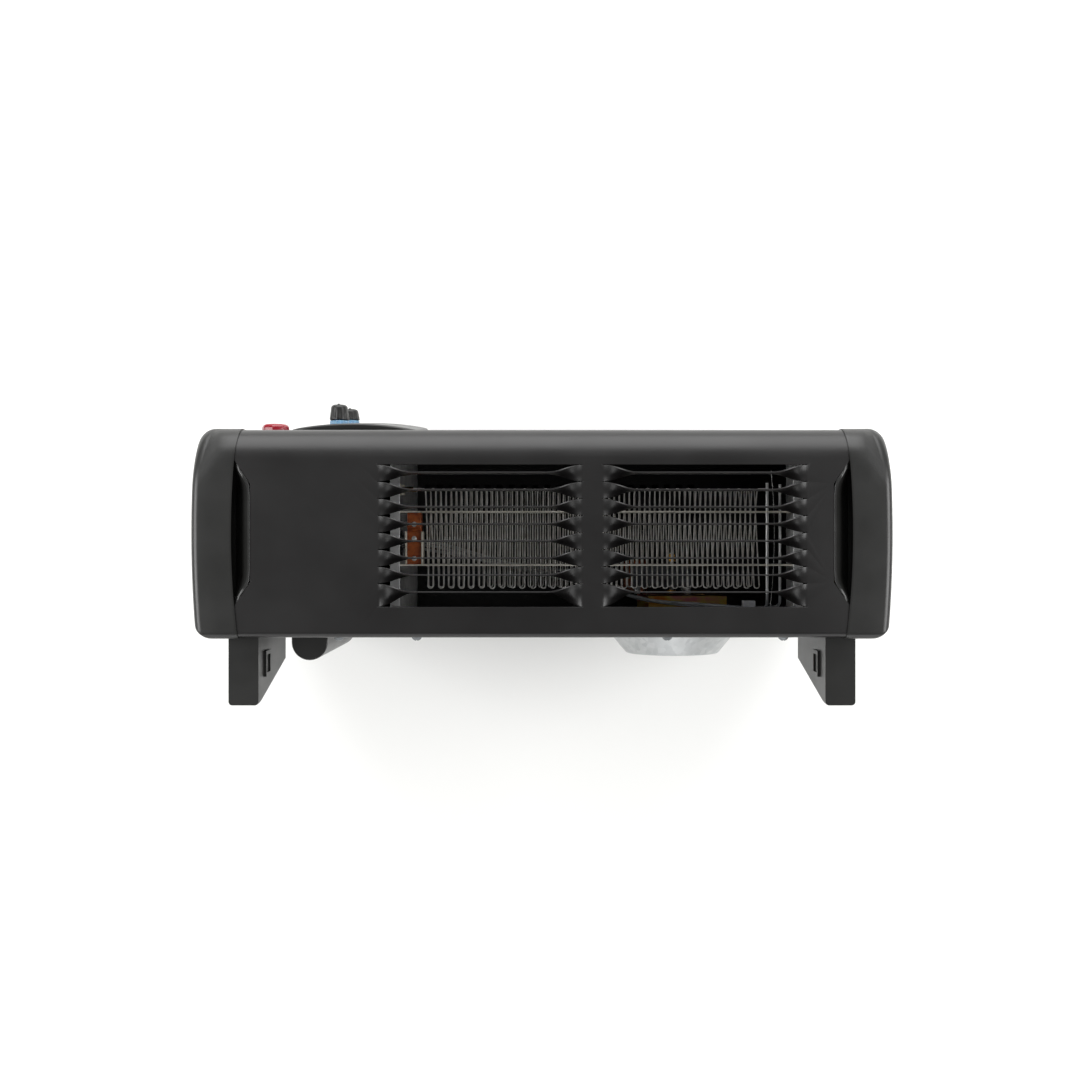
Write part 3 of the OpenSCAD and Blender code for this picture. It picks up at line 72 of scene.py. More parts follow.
CASING_X, Y_REAR, _ = box_of("casing")[1]
Y_FRONT = -Y_REAR
Z_BASE = box_of("casing")[0][2]
END_X, _, CAP_TOP = box_of("end_cap_right")[1]
BULKHEAD_X = box_of("bulkhead")[1][0]
# Clearance between pieces that fit into each other
GAP = 0.2
# Points nearer than this, in metres, become one
WELD = 1e-6


def linear(hex_colour):
    """The linear colour, with its alpha, of an sRGB hex colour."""
    channels = [int(hex_colour[i:i + 2], 16) / 255 for i in (1, 3, 5)]
    return [c / 12.92 if c <= 0.04045 else ((c + 0.055) / 1.055) ** 2.4 for c in channels] + [1]


class HeaterCasing(bpy.types.PropertyGroup):
    """Sizes of the steel casing and its two end caps"""

    sheet: FloatProperty(
        name="Sheet", description="Thickness of the steel sheet",
        default=0.001, unit="LENGTH")
    proud: FloatProperty(
        name="Proud", description="How far an end cap stands proud of the casing",
        default=0.001, unit="LENGTH")
    front_bend: FloatProperty(
        name="Front bend", description="Height of the bend between front and top",
        default=0.020, unit="LENGTH")
    front_reach: FloatProperty(
        name="Front reach", description="Reach of that bend along the top",
        default=0.025, unit="LENGTH")
    cap_reach: FloatProperty(
        name="Cap reach", description="Reach of an end cap's softer bend on its outer half",
        default=0.042, unit="LENGTH")
    cap_ease: FloatProperty(
        name="Cap ease", description="How much the caps' front bend flattens into a slope",
        default=1.25, min=1, max=1.5)
    rear_bend: FloatProperty(
        name="Rear bend", description="Radius of the bend between top and rear",
        default=0.005, unit="LENGTH")
    rear_flange: FloatProperty(
        name="Rear flange", description="Height of the flange turned down at the rear",
        default=0.018, unit="LENGTH")
    base_flange: FloatProperty(
        name="Base flange", description="Depth of the flange turned in at the bottom",
        default=0.014, unit="LENGTH")
    groove_count: IntProperty(
        name="Grooves", description="Number of pressed grooves in the front", default=3)
    groove_pitch: FloatProperty(
        name="Groove pitch", description="Distance between the grooves",
        default=0.026, unit="LENGTH")
    groove_low: FloatProperty(
        name="Lowest groove", description="Height of the lowest groove above the underside",
        default=0.046, unit="LENGTH")
    groove_depth: FloatProperty(
        name="Groove depth", description="Depth of a groove",
        default=0.0016, unit="LENGTH")
    groove_length: FloatProperty(
        name="Groove length", description="Length of a groove",
        default=0.380, unit="LENGTH")
    cap_width: FloatProperty(
        name="Cap width", description="Width of an end cap at the middle of its depth",
        default=0.031, unit="LENGTH")
    cap_wall: FloatProperty(
        name="Cap wall", description="Wall of an end cap",
        default=0.0026, unit="LENGTH")
    bow_inner: FloatProperty(
        name="Inner bow", description="Bow of an end cap's inner edge",
        default=0.005, unit="LENGTH")
    bow_outer: FloatProperty(
        name="Outer bow", description="Bow of an end cap's outer side",
        default=0.0035, unit="LENGTH")
    cap_corner: FloatProperty(
        name="Cap corner", description="Radius of an end cap's front and rear corners",
        default=0.012, unit="LENGTH")
    cap_edge: FloatProperty(
        name="Cap edge", description="Radius along an end cap's top outer edge",
        default=0.006, unit="LENGTH")
    grip_reach: FloatProperty(
        name="Grip reach", description="Reach of a hand grip in from the end cap",
        default=0.014, unit="LENGTH")
    grip_long: FloatProperty(
        name="Grip long side", description="Half length of a hand grip at the end cap",
        default=0.058, unit="LENGTH")
    grip_short: FloatProperty(
        name="Grip short side", description="Half length of a hand grip at its inner edge",
        default=0.037, unit="LENGTH")


class HeaterOutlet(bpy.types.PropertyGroup):
    """Sizes of the two louvred windows in the top"""

    window: FloatProperty(
        name="Window", description="Length of a window", default=0.155, unit="LENGTH")
    web: FloatProperty(
        name="Web", description="Width of the web between the windows",
        default=0.014, unit="LENGTH")
    web_place: FloatProperty(
        name="Web place", description="Place of the web along the heater",
        default=-0.038, unit="LENGTH")
    front: FloatProperty(
        name="Front edge", description="Front edge of the windows, before the middle plane",
        default=0.0515, unit="LENGTH")
    rear: FloatProperty(
        name="Rear edge", description="Rear edge of the windows, behind the middle plane",
        default=0.0557, unit="LENGTH")
    vane_count: IntProperty(name="Vanes", description="Number of vanes in a window", default=8)
    pitch: FloatProperty(
        name="Pitch", description="Distance between vanes", default=0.0128, unit="LENGTH")
    kerf: FloatProperty(
        name="Kerf", description="Gap sheared between vanes", default=0.00045, unit="LENGTH")
    twist: FloatProperty(
        name="Twist", description="Length over which a vane turns on edge",
        default=0.027, unit="LENGTH")
    turn: FloatProperty(
        name="Turn", description="Angle that a vane is turned by",
        default=math.radians(88), subtype="ANGLE")


class HeaterControls(bpy.types.PropertyGroup):
    """Sizes of the knobs, rings, plate and pilot lens"""

    knob_place: FloatProperty(
        name="Knob place", description="Place of the knobs along the heater",
        default=0.166, unit="LENGTH")
    knob_high: FloatProperty(
        name="Upper knob", description="Height of the upper knob", default=0.300, unit="LENGTH")
    knob_pitch: FloatProperty(
        name="Knob pitch", description="Distance between the knobs", default=0.070, unit="LENGTH")
    knob_base: FloatProperty(
        name="Knob base", description="Radius of a knob at its base", default=0.008, unit="LENGTH")
    knob_tip: FloatProperty(
        name="Knob tip", description="Radius of a knob near its tip", default=0.0069, unit="LENGTH")
    flutes: IntProperty(name="Flutes", description="Number of grip flutes in a knob", default=12)
    ring: FloatProperty(
        name="Ring", description="Radius of a dial ring", default=0.0078, unit="LENGTH")
    lumps: IntProperty(name="Lumps", description="Number of lumps round a dial ring", default=18)
    plate_place: FloatProperty(
        name="Plate place", description="Place of the control plate along the heater",
        default=0.1505, unit="LENGTH")
    plate_high: FloatProperty(
        name="Plate height", description="Height of the control plate's middle",
        default=0.267, unit="LENGTH")
    plate_width: FloatProperty(
        name="Plate width", description="Width of the control plate", default=0.100, unit="LENGTH")
    plate_length: FloatProperty(
        name="Plate length", description="Length of the control plate, up and down",
        default=0.145, unit="LENGTH")
    plate_corner: FloatProperty(
        name="Plate corner", description="Corner radius of the control plate",
        default=0.014, unit="LENGTH")
    top_out: FloatProperty(
        name="Top reach", description="Reach of the plate's top edge in front of the casing",
        default=0.0082, unit="LENGTH")
    low_out: FloatProperty(
        name="Bottom reach", description="Reach of the plate's bottom edge in front of the casing",
        default=0.0202, unit="LENGTH")
    bow: FloatProperty(
        name="Bow", description="Bow of the control plate across its width",
        default=0.005, unit="LENGTH")
    plate_edge: FloatProperty(
        name="Plate edge", description="Radius round the control plate's edge",
        default=0.0015, unit="LENGTH")
    lamp_place: FloatProperty(
        name="Lamp place", description="Place of the pilot lens along the heater",
        default=0.213, unit="LENGTH")
    lamp_high: FloatProperty(
        name="Lamp height", description="Height of the pilot lens", default=0.330, unit="LENGTH")
    lamp: FloatProperty(
        name="Lens", description="Radius of the pilot lens", default=0.011, unit="LENGTH")
    lamp_round: FloatProperty(
        name="Lens edge", description="Radius round the edge of the lens",
        default=0.0035, unit="LENGTH")
    lamp_out: FloatProperty(
        name="Lens reach", description="Reach of the lens in front of the casing",
        default=0.0082, unit="LENGTH")


class HeaterWorks(bpy.types.PropertyGroup):
    """Sizes of the heating wires, leads, motor and fan"""

    element_high: FloatProperty(
        name="Element height", description="Height of the element's middle",
        default=0.250, unit="LENGTH")
    element_place: FloatProperty(
        name="Element place", description="Place of the element behind the middle plane",
        default=0.004, unit="LENGTH")
    half_depth: FloatProperty(
        name="Half depth", description="Half width of a wire's zig-zag, from above",
        default=0.042, unit="LENGTH")
    half_rise: FloatProperty(
        name="Half rise", description="Rise of the zig-zag over that half width",
        default=0.016, unit="LENGTH")
    loops: IntProperty(name="Loops", description="Number of loops in a heating wire", default=33)
    leg_pitch: FloatProperty(
        name="Leg pitch", description="Distance between legs of a wire",
        default=0.0043, unit="LENGTH")
    wire: FloatProperty(
        name="Wire", description="Diameter of the heating wire", default=0.0012, unit="LENGTH")
    wire_place: FloatProperty(
        name="Wire place", description="Place of a wire's first leg along the heater",
        default=0.098, unit="LENGTH")
    lead: FloatProperty(
        name="Lead", description="Radius of an insulated lead", default=0.0012, unit="LENGTH")
    guard: FloatProperty(
        name="Guard", description="Radius of the rear guard at the back panel",
        default=0.066, unit="LENGTH")
    guard_face: FloatProperty(
        name="Guard face", description="Radius of the rear guard's face",
        default=0.042, unit="LENGTH")
    guard_out: FloatProperty(
        name="Guard reach", description="Reach of the rear guard behind the casing",
        default=0.030, unit="LENGTH")
    guard_slots: IntProperty(
        name="Guard slots", description="Number of slots in the rear guard", default=16)
    blades: IntProperty(name="Blades", description="Number of blades of the impeller", default=6)
    blade_pitch: FloatProperty(
        name="Blade pitch", description="Pitch of the blades at the hub",
        default=math.radians(46), subtype="ANGLE")


class HeaterColours(bpy.types.PropertyGroup):
    """Colours of the finishes"""

    black_steel: FloatVectorProperty(
        name="Powder coat", description="Colour of the casing's powder coat",
        default=linear("#100f0f"), subtype="COLOR", size=4, min=0, max=1)
    black_abs: FloatVectorProperty(
        name="Black ABS", description="Colour of the end caps and other black mouldings",
        default=linear("#191918"), subtype="COLOR", size=4, min=0, max=1)
    ring_blue: FloatVectorProperty(
        name="Dial rings", description="Colour of the dial rings",
        default=linear("#6b93b2"), subtype="COLOR", size=4, min=0, max=1)
    lens_red: FloatVectorProperty(
        name="Pilot lens", description="Colour of the pilot lens",
        default=linear("#a01228"), subtype="COLOR", size=4, min=0, max=1)
    floor: FloatVectorProperty(
        name="Floor", description="Colour of the floor",
        default=linear("#f1f1ef"), subtype="COLOR", size=4, min=0, max=1)


def millimetres(group):
    """A property group's lengths in millimetres, with its counts and angles as they are."""
    values = {}
    for key, prop in group.bl_rna.properties.items():
        if prop.type == "INT":
            values[key] = getattr(group, key)
        elif prop.type == "FLOAT":
            values[key] = getattr(group, key) / (MM if prop.unit == "LENGTH" else 1)
    return SimpleNamespace(**values)


def add(tree, kind, inputs=None, **settings):
    """Adds a node with its settings. An input is a value, or the output to link to it."""
    node = tree.nodes.new(kind)
    for name, value in settings.items():
        setattr(node, name, value)
    for name, value in (inputs or {}).items():
        if isinstance(value, bpy.types.NodeSocket):
            tree.links.new(value, node.inputs[name])
        else:
            node.inputs[name].default_value = value
    return node


def begin(name, **sockets):
    """Begins a material, with values on its shader's sockets. Returns tree, shader and place."""
    material = bpy.data.materials.new(name)
    material.use_nodes = True
    tree = material.node_tree
    shader = tree.nodes["Principled BSDF"]
    for socket, value in sockets.items():
        shader.inputs[socket.replace("_", " ")].default_value = value
    place = add(tree, "ShaderNodeTexCoord").outputs["Object"]
    return tree, shader, place


def grain(tree, shader, place, size, depth, detail=2.0, stretch=(1, 1, 1)):
    """Bumps a surface with noise of a grain size and depth in millimetres."""
    mapping = add(tree, "ShaderNodeMapping", {"Vector": place, "Scale": stretch})
    noise = add(tree, "ShaderNodeTexNoise", {
        "Vector": mapping.outputs["Vector"], "Scale": 1 / (size * MM), "Detail": detail})
    bump = add(tree, "ShaderNodeBump", {
        "Height": noise.outputs["Fac"], "Distance": depth * MM, "Strength": 1.0})
    tree.links.new(bump.outputs["Normal"], shader.inputs["Normal"])


def blotch(tree, shader, place, size, socket, low, high, stretch=(1, 1, 1)):
    """Varies a socket between two values or colours, in soft patches of a size in millimetres."""
    mapping = add(tree, "ShaderNodeMapping", {"Vector": place, "Scale": stretch})
    noise = add(tree, "ShaderNodeTexNoise", {
        "Vector": mapping.outputs["Vector"], "Scale": 1 / (size * MM), "Detail": 4.0})
    ramp = add(tree, "ShaderNodeValToRGB", {"Fac": noise.outputs["Fac"]})
    for element, position, value in zip(ramp.color_ramp.elements, (0.35, 0.65), (low, high)):
        element.position = position
        element.color = value if hasattr(value, "__len__") else (value, value, value, 1)
    tree.links.new(ramp.outputs["Color"], shader.inputs[socket])


def scaled(colour, factor):
    """A colour made lighter or darker."""
    return [min(c * factor, 1) for c in colour[:3]] + [1]


def powder_coated_steel():
    """Satin black polyester powder, baked: fine orange peel that breaks up the highlights."""
    colour = bpy.context.scene.heater_colours.black_steel
    tree, shader, place = begin("powder_coated_steel", Base_Color=colour)
    grain(tree, shader, place, size=1.1, depth=0.012, detail=3)
    blotch(tree, shader, place, 38, "Base Color", scaled(colour, 0.9), scaled(colour, 1.12))
    blotch(tree, shader, place, 60, "Roughness", 0.34, 0.40)
    return tree


def moulded_abs():
    """Black ABS out of a spark-eroded mould: an even satin grain, with softer, wider highlights."""
    colour = bpy.context.scene.heater_colours.black_abs
    tree, shader, place = begin("moulded_abs", Base_Color=colour)
    grain(tree, shader, place, size=0.7, depth=0.014, detail=2)
    blotch(tree, shader, place, 30, "Roughness", 0.33, 0.39, stretch=(1, 1, 0.5))
    blotch(tree, shader, place, 22, "Base Color", scaled(colour, 0.92), scaled(colour, 1.1))
    return tree


def plain_moulding(name, hex_colour, roughness):
    """Small mouldings of nylon or urea: one colour, a fine grain and slightly uneven gloss."""
    colour = linear(hex_colour)
    tree, shader, place = begin(name, Base_Color=colour)
    grain(tree, shader, place, size=0.6, depth=0.01)
    blotch(tree, shader, place, 9, "Roughness", roughness - 0.04, roughness + 0.06)
    blotch(tree, shader, place, 14, "Base Color", scaled(colour, 0.92), scaled(colour, 1.06))
    return tree


def zinc_plate():
    """Bright zinc electroplate on mild steel: grey-white under a dull film, with rolling lines."""
    tree, shader, place = begin("zinc_plate", Metallic=0.35)
    grain(tree, shader, place, size=0.8, depth=0.006, stretch=(0.2, 1, 1))
    blotch(tree, shader, place, 12, "Base Color", linear("#d2d3d3"), linear("#e6e6e5"))
    blotch(tree, shader, place, 7, "Roughness", 0.3, 0.42)
    return tree


def passivated_zinc():
    """Clear-passivated zinc on the screws: a duller, bluish grey metal."""
    tree, shader, place = begin("passivated_zinc", Metallic=1.0)
    blotch(tree, shader, place, 5, "Base Color", linear("#6f7274"), linear("#868a8c"))
    blotch(tree, shader, place, 4, "Roughness", 0.42, 0.55)
    return tree


def galvanised_sheet():
    """Hot-dipped zinc: crystals of slightly different brightness, with faint drawing streaks."""
    tree, shader, place = begin("galvanised_sheet", Metallic=1.0)
    spangle = add(tree, "ShaderNodeTexVoronoi", {"Vector": place, "Scale": 1 / (5 * MM)})
    ramp = add(tree, "ShaderNodeValToRGB", {"Fac": spangle.outputs["Color"]})
    ramp.color_ramp.elements[0].color = linear("#a6a8a9")
    ramp.color_ramp.elements[1].color = linear("#b9bbbb")
    tree.links.new(ramp.outputs["Color"], shader.inputs["Base Color"])
    grain(tree, shader, place, size=1.6, depth=0.01, stretch=(1, 1, 0.08))
    blotch(tree, shader, place, 6, "Roughness", 0.36, 0.48)
    return tree


def yellow_chromate():
    """Yellow chromate on zinc: an iridescent film that runs from pink over gold to orange."""
    tree, shader, place = begin("yellow_chromate", Metallic=1.0, Roughness=0.34)
    mapping = add(tree, "ShaderNodeMapping", {"Vector": place, "Scale": (1, 2.5, 1)})
    film = add(tree, "ShaderNodeTexNoise", {
        "Vector": mapping.outputs["Vector"], "Scale": 1 / (26 * MM), "Detail": 3.0})
    ramp = add(tree, "ShaderNodeValToRGB", {"Fac": film.outputs["Fac"]})
    ramp.color_ramp.elements[0].position = 0.36
    ramp.color_ramp.elements[0].color = linear("#a9696a")
    ramp.color_ramp.elements[1].position = 0.66
    ramp.color_ramp.elements[1].color = linear("#a8602c")
    middle = ramp.color_ramp.elements.new(0.5)
    middle.color = linear("#a8944c")
    tree.links.new(ramp.outputs["Color"], shader.inputs["Base Color"])
    grain(tree, shader, place, size=0.8, depth=0.006)
    return tree


def mica_board():
    """Pressed mica: cream and off-white flakes under a thin resin shine."""
    tree, shader, place = begin("mica_board", Roughness=0.4, Coat_Weight=0.3, Coat_Roughness=0.3)
    flakes = add(tree, "ShaderNodeTexVoronoi", {"Vector": place, "Scale": 1 / (2.4 * MM)})
    ramp = add(tree, "ShaderNodeValToRGB", {"Fac": flakes.outputs["Color"]})
    ramp.color_ramp.elements[0].color = linear("#e2ddce")
    ramp.color_ramp.elements[1].color = linear("#f6f2e8")
    tree.links.new(ramp.outputs["Color"], shader.inputs["Base Color"])
    grain(tree, shader, place, size=1.5, depth=0.02)
    return tree


def oxidised_nichrome():
    """Resistance wire that has glowed: drawn metal whose shine a pale grey oxide has dulled."""
    tree, shader, place = begin("oxidised_nichrome", Metallic=0.2)
    blotch(tree, shader, place, 8, "Base Color", linear("#cfccc7"), linear("#eceae6"))
    blotch(tree, shader, place, 5, "Roughness", 0.28, 0.42)
    return tree


def turned_brass():
    """Turned brass: warm yellow metal with fine tool rings along its length."""
    tree, shader, place = begin("turned_brass", Metallic=1.0, Roughness=0.26)
    grain(tree, shader, place, size=0.5, depth=0.008, stretch=(1, 0.1, 0.1))
    blotch(tree, shader, place, 4, "Base Color", linear("#b08542"), linear("#cda35c"))
    return tree


def steatite():
    """Pressed and fired steatite: cream ceramic, faintly mottled, with a dull glaze."""
    tree, shader, place = begin("steatite", Roughness=0.38, Coat_Weight=0.4, Coat_Roughness=0.25)
    grain(tree, shader, place, size=0.9, depth=0.01)
    blotch(tree, shader, place, 5, "Base Color", linear("#d9d2c0"), linear("#efeadc"))
    return tree


def phenolic():
    """Compression moulded phenolic: red-brown with darker flow patches and a hard gloss."""
    tree, shader, place = begin("phenolic", Roughness=0.3)
    grain(tree, shader, place, size=0.8, depth=0.01)
    blotch(tree, shader, place, 5, "Base Color", linear("#8a3f20"), linear("#b8632f"))
    return tree


def wound_copper():
    """Enamelled copper wire under baking varnish: orange metal seen through a clear coat."""
    tree, shader, place = begin(
        "wound_copper", Metallic=1.0, Roughness=0.32, Coat_Weight=0.6, Coat_Roughness=0.2)
    blotch(tree, shader, place, 6, "Base Color", linear("#6f3d20"), linear("#96562d"))
    return tree


def tinted_ring():
    """Pale blue polypropylene: milky and slightly see-through, so that light spreads inside it."""
    colour = bpy.context.scene.heater_colours.ring_blue
    tree, shader, place = begin(
        "tinted_ring", Base_Color=colour, Roughness=0.3, IOR=1.49, Subsurface_Weight=0.15,
        Subsurface_Scale=0.003)
    grain(tree, shader, place, size=0.9, depth=0.01)
    blotch(tree, shader, place, 5, "Base Color", scaled(colour, 0.86), scaled(colour, 1.1))
    return tree


def red_acrylic():
    """Injection moulded red acrylic: clear, deep crimson, with a sharp gloss on top."""
    colour = bpy.context.scene.heater_colours.lens_red
    tree, shader, place = begin(
        "red_acrylic", Base_Color=colour, Roughness=0.22, IOR=1.49, Transmission_Weight=0.3,
        Coat_Weight=0.2, Coat_Roughness=0.12)
    grain(tree, shader, place, size=2.5, depth=0.02)
    return tree


def lamp_glass():
    """Neon bulb: thin clear glass over a dull orange electrode."""
    tree, shader, place = begin(
        "lamp_glass", Base_Color=linear("#e8b48c"), Roughness=0.06, Transmission_Weight=0.7)
    grain(tree, shader, place, size=2, depth=0.01)
    return tree


def moulded_rubber():
    """Moulded EPDM: dead black, with a dry, dusty sheen."""
    tree, shader, place = begin(
        "moulded_rubber", Base_Color=linear("#161617"), Sheen_Weight=0.15, Sheen_Roughness=0.5)
    grain(tree, shader, place, size=0.5, depth=0.012)
    blotch(tree, shader, place, 6, "Roughness", 0.62, 0.78)
    return tree


def stacked_laminations():
    """Punched silicon steel, stacked: a dark oiled face, with the sheets' edges as fine lines.

    The lines stand two millimetres apart, wider than the real sheets, so that they show.
    """
    tree, shader, place = begin("stacked_laminations", Metallic=0.9)
    edges = add(tree, "ShaderNodeTexWave", {
        "Vector": place, "Scale": 1 / (2 * math.pi * MM), "Distortion": 0.6},
        bands_direction="Y")
    bump = add(tree, "ShaderNodeBump", {
        "Height": edges.outputs["Fac"], "Distance": 0.08 * MM, "Strength": 1.0})
    tree.links.new(bump.outputs["Normal"], shader.inputs["Normal"])
    blotch(tree, shader, place, 9, "Base Color", linear("#5c5e62"), linear("#85888c"))
    blotch(tree, shader, place, 5, "Roughness", 0.38, 0.55)
    return tree


def silicone_lead():
    """Silicone-sleeved lead: soft grey rubber that picks up a matt dusting."""
    tree, shader, place = begin("silicone_lead", Sheen_Weight=0.1)
    grain(tree, shader, place, size=0.7, depth=0.01)
    blotch(tree, shader, place, 11, "Base Color", linear("#7d8083"), linear("#9b9ea1"))
    blotch(tree, shader, place, 8, "Roughness", 0.42, 0.55)
    return tree


def painted_floor():
    """Matt floor paint: nearly white, in broad patches that hardly differ."""
    colour = bpy.context.scene.heater_colours.floor
    tree, shader, place = begin("painted_floor", Roughness=0.85)
    blotch(tree, shader, place, 400, "Base Color", scaled(colour, 0.985), colour)
    return tree


FINISHES = {
    "black_steel": powder_coated_steel,
    "black_abs": moulded_abs,
    "zinc_steel": zinc_plate,
    "screw_zinc": passivated_zinc,
    "galvanised": galvanised_sheet,
    "chromate_steel": yellow_chromate,
    "mica": mica_board,
    "nichrome": oxidised_nichrome,
    "brass": turned_brass,
    "porcelain": steatite,
    "phenolic": phenolic,
    "copper": wound_copper,
    "ring_blue": tinted_ring,
    "lens_red": red_acrylic,
    "lamp_neon": lamp_glass,
    "rubber": moulded_rubber,
    "switch_body": lambda: plain_moulding("moulded_nylon", "#35363a", 0.45),
    "thermostat_body": lambda: plain_moulding("moulded_urea", "#d6cab0", 0.4),
    "lamination": stacked_laminations,
    "impeller_nylon": lambda: plain_moulding("filled_nylon", "#3d4045", 0.5),
    "lead_grey": silicone_lead,
    "clip_nylon": lambda: plain_moulding("natural_nylon", "#c9cbd0", 0.4),
    "floor": painted_floor,
}
MADE = {}


def finish(slot):
    """The material of a slot, made once."""
    if slot not in MADE:
        tree = FINISHES[slot]()
        MADE[slot] = next(m for m in bpy.data.materials if m.node_tree == tree)
    return MADE[slot]


def modifier(obj, kind, **settings):
    """Adds a modifier with its settings."""
    added = obj.modifiers.new(kind.title(), kind)
    for name, value in settings.items():
        setattr(added, name, value)


def soften(obj, width, angle=40, segments=2, clamp=True):
    """Rounds a piece's edges by a width in millimetres, and evens its shading."""
    modifier(obj, "BEVEL", width=width * MM, segments=segments, limit_method="ANGLE",
             angle_limit=math.radians(angle), use_clamp_overlap=clamp, harden_normals=True)
    modifier(obj, "WEIGHTED_NORMAL", keep_sharp=True)


def thicken(obj, thickness):
    """Gives a skin the thickness of its sheet, in millimetres."""
    modifier(obj, "SOLIDIFY", thickness=thickness * MM, offset=-1, use_rim=True)


def piece(name, skin, slot, nodes=(), body="root", sharp=38):
    """Makes a piece of points and faces, and joins it to the frame."""
    points, faces = skin
    mesh = bpy.data.meshes.new(name)
    mesh.from_pydata([(x * MM, y * MM + MID_Y, z * MM) for x, y, z in points], [], faces)
    shape = bmesh.new()
    shape.from_mesh(mesh)
    bmesh.ops.remove_doubles(shape, verts=shape.verts, dist=WELD)
    bmesh.ops.recalc_face_normals(shape, faces=shape.faces)
    shape.to_mesh(mesh)
    shape.free()
    mesh.shade_smooth()
    mesh.set_sharp_from_angle(angle=math.radians(sharp))
    mesh.materials.append(finish(slot))
    obj = bpy.data.objects.new(name, mesh)
    bpy.context.scene.collection.objects.link(obj)
    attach(obj, body)
    if nodes:
        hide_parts(*nodes)
    return obj


def join(*skins):
    """One skin of several."""
    points, faces = [], []
    for some_points, some_faces in skins:
        start = len(points)
        points += some_points
        faces += [tuple(start + i for i in face) for face in some_faces]
    return points, faces


def mirrored(skin):
    """The skin's mirror image on the other side of the heater."""
    return [(-x, y, z) for x, y, z in skin[0]], skin[1]


def pair(name, skin, slot, node):
    """Makes the piece on the right and its mirror image on the left."""
    for place, half in (("right", skin), ("left", mirrored(skin))):
        piece(name + "_" + place, half, slot, [node + "_" + place])


def swept(line, places):
    """The skin of a line of (y, z), swept along the heater through the given places."""
    return loft([[(x, y, z) for y, z in line] for x in places], around=False)


def at_angle(centre, radius, degrees):
    """The point of a circle at an angle."""
    a = math.radians(degrees)
    return centre[0] + radius * math.cos(a), centre[1] + radius * math.sin(a)


def loft(rings, closed=False, ends=False, around=True):
    """The skin through rings of as many points each."""
    n = len(rings[0])
    faces = []
    for i in range(len(rings) if closed else len(rings) - 1):
        a, b = i * n, (i + 1) % len(rings) * n
        faces += [(a + j, a + (j + 1) % n, b + (j + 1) % n, b + j)
                  for j in range(n if around else n - 1)]
    if ends:
        last = (len(rings) - 1) * n
        faces += [tuple(reversed(range(n))), tuple(range(last, last + n))]
    return [p for ring in rings for p in ring], faces


def spun(profile, centre, steps, wave=lambda angle, r, out: r):
    """The skin of a profile of (radius, y) turned about a line along Y. A wave may change radii."""
    x0, z0 = centre
    rings = []
    for i in range(steps):
        a = math.tau * i / steps
        waved = [(wave(a, r, y), y) for r, y in profile]
        rings.append([(x0 + r * math.cos(a), y, z0 + r * math.sin(a)) for r, y in waved])
    return loft(rings, closed=True, around=False)


def arc(centre, radius, start, end, steps):
    """Points of an arc, with angles in degrees."""
    return [at_angle(centre, radius, start + (end - start) * i / steps) for i in range(steps + 1)]


def circle(centre, radius, steps=24):
    """Points of a circle."""
    return arc(centre, radius, 0, 360, steps)[:-1]


def round_box(low, high, radius, steps=6):
    """Points of a rectangle with round corners."""
    (x0, y0), (x1, y1) = low, high
    r = radius
    return (arc((x1 - r, y0 + r), r, -90, 0, steps) + arc((x1 - r, y1 - r), r, 0, 90, steps)
            + arc((x0 + r, y1 - r), r, 90, 180, steps) + arc((x0 + r, y0 + r), r, 180, 270, steps))


def round_slot(low, high, width, steps):
    """Points of a slot with round ends, which stop just short of half circles."""
    return round_box(low, high, width / 2 - 0.01, steps)


def between(a, b, n):
    """Points that divide the way from one point to the next in n, without the last."""
    return [(a[0] + (b[0] - a[0]) * i / n, a[1] + (b[1] - a[1]) * i / n) for i in range(n)]


def bow_radius(half, bow):
    """Radius of an edge that bows by so much over twice a half length."""
    return (half ** 2 + bow ** 2) / (2 * bow)


def cap_edge_x(y, size, gap=0):
    """Place of the right end cap's bowed inner edge along the heater, less a gap."""
    radius = bow_radius(Y_REAR + size.proud, size.bow_inner)
    return END_X - size.cap_width - radius + math.sqrt((radius - gap) ** 2 - y ** 2)


def grip_corners(near, far, short, long, cap_x):
    """Corners of a hand grip's outline, which widens up to the end cap's edge."""
    return [(near, -short), (near, short), (cap_x, long), (far, long), (far, -long),
            (cap_x, -long)]


def both_controls(size):
    """Names and heights of the two controls."""
    return ("power", size.knob_high), ("thermostat", size.knob_high - size.knob_pitch)


def inside(point, loop):
    """Whether a point lies inside a closed loop."""
    x, y = point
    hit = False
    for (x0, y0), (x1, y1) in zip(loop, loop[1:] + loop[:1]):
        if (y0 > y) != (y1 > y) and x < x0 + (y - y0) * (x1 - x0) / (y1 - y0):
            hit = not hit
    return hit


def cut_sheet(outline, holes, extra=()):
    """Triangles that fill an outline round its holes, through extra points on the way."""
    points = [Vector(p) for p in extra]
    edges = []
    for loop in [outline] + list(holes):
        start = len(points)
        points += [Vector(p) for p in loop]
        edges += [(start + i, start + (i + 1) % len(loop)) for i in range(len(loop))]
    whole_hull, closeness = 0, 1e-4
    found, _, faces, *_ = delaunay_2d_cdt(points, edges, [], whole_hull, closeness)
    kept = []
    for face in faces:
        middle = sum((found[i] for i in face), Vector((0, 0))) / len(face)
        if inside(middle, outline) and not any(inside(middle, hole) for hole in holes):
            kept.append(tuple(face))
    return [tuple(p) for p in found], kept


def lines(keys, widest):
    """The key values in order, with more between them where they lie wide apart."""
    keys = sorted(set(round(k, 4) for k in keys))
    filled = [keys[0]]
    for a, b in zip(keys, keys[1:]):
        n = max(1, math.ceil((b - a) / widest))
        filled += [a + (b - a) * i / n for i in range(1, n + 1)]
    return filled


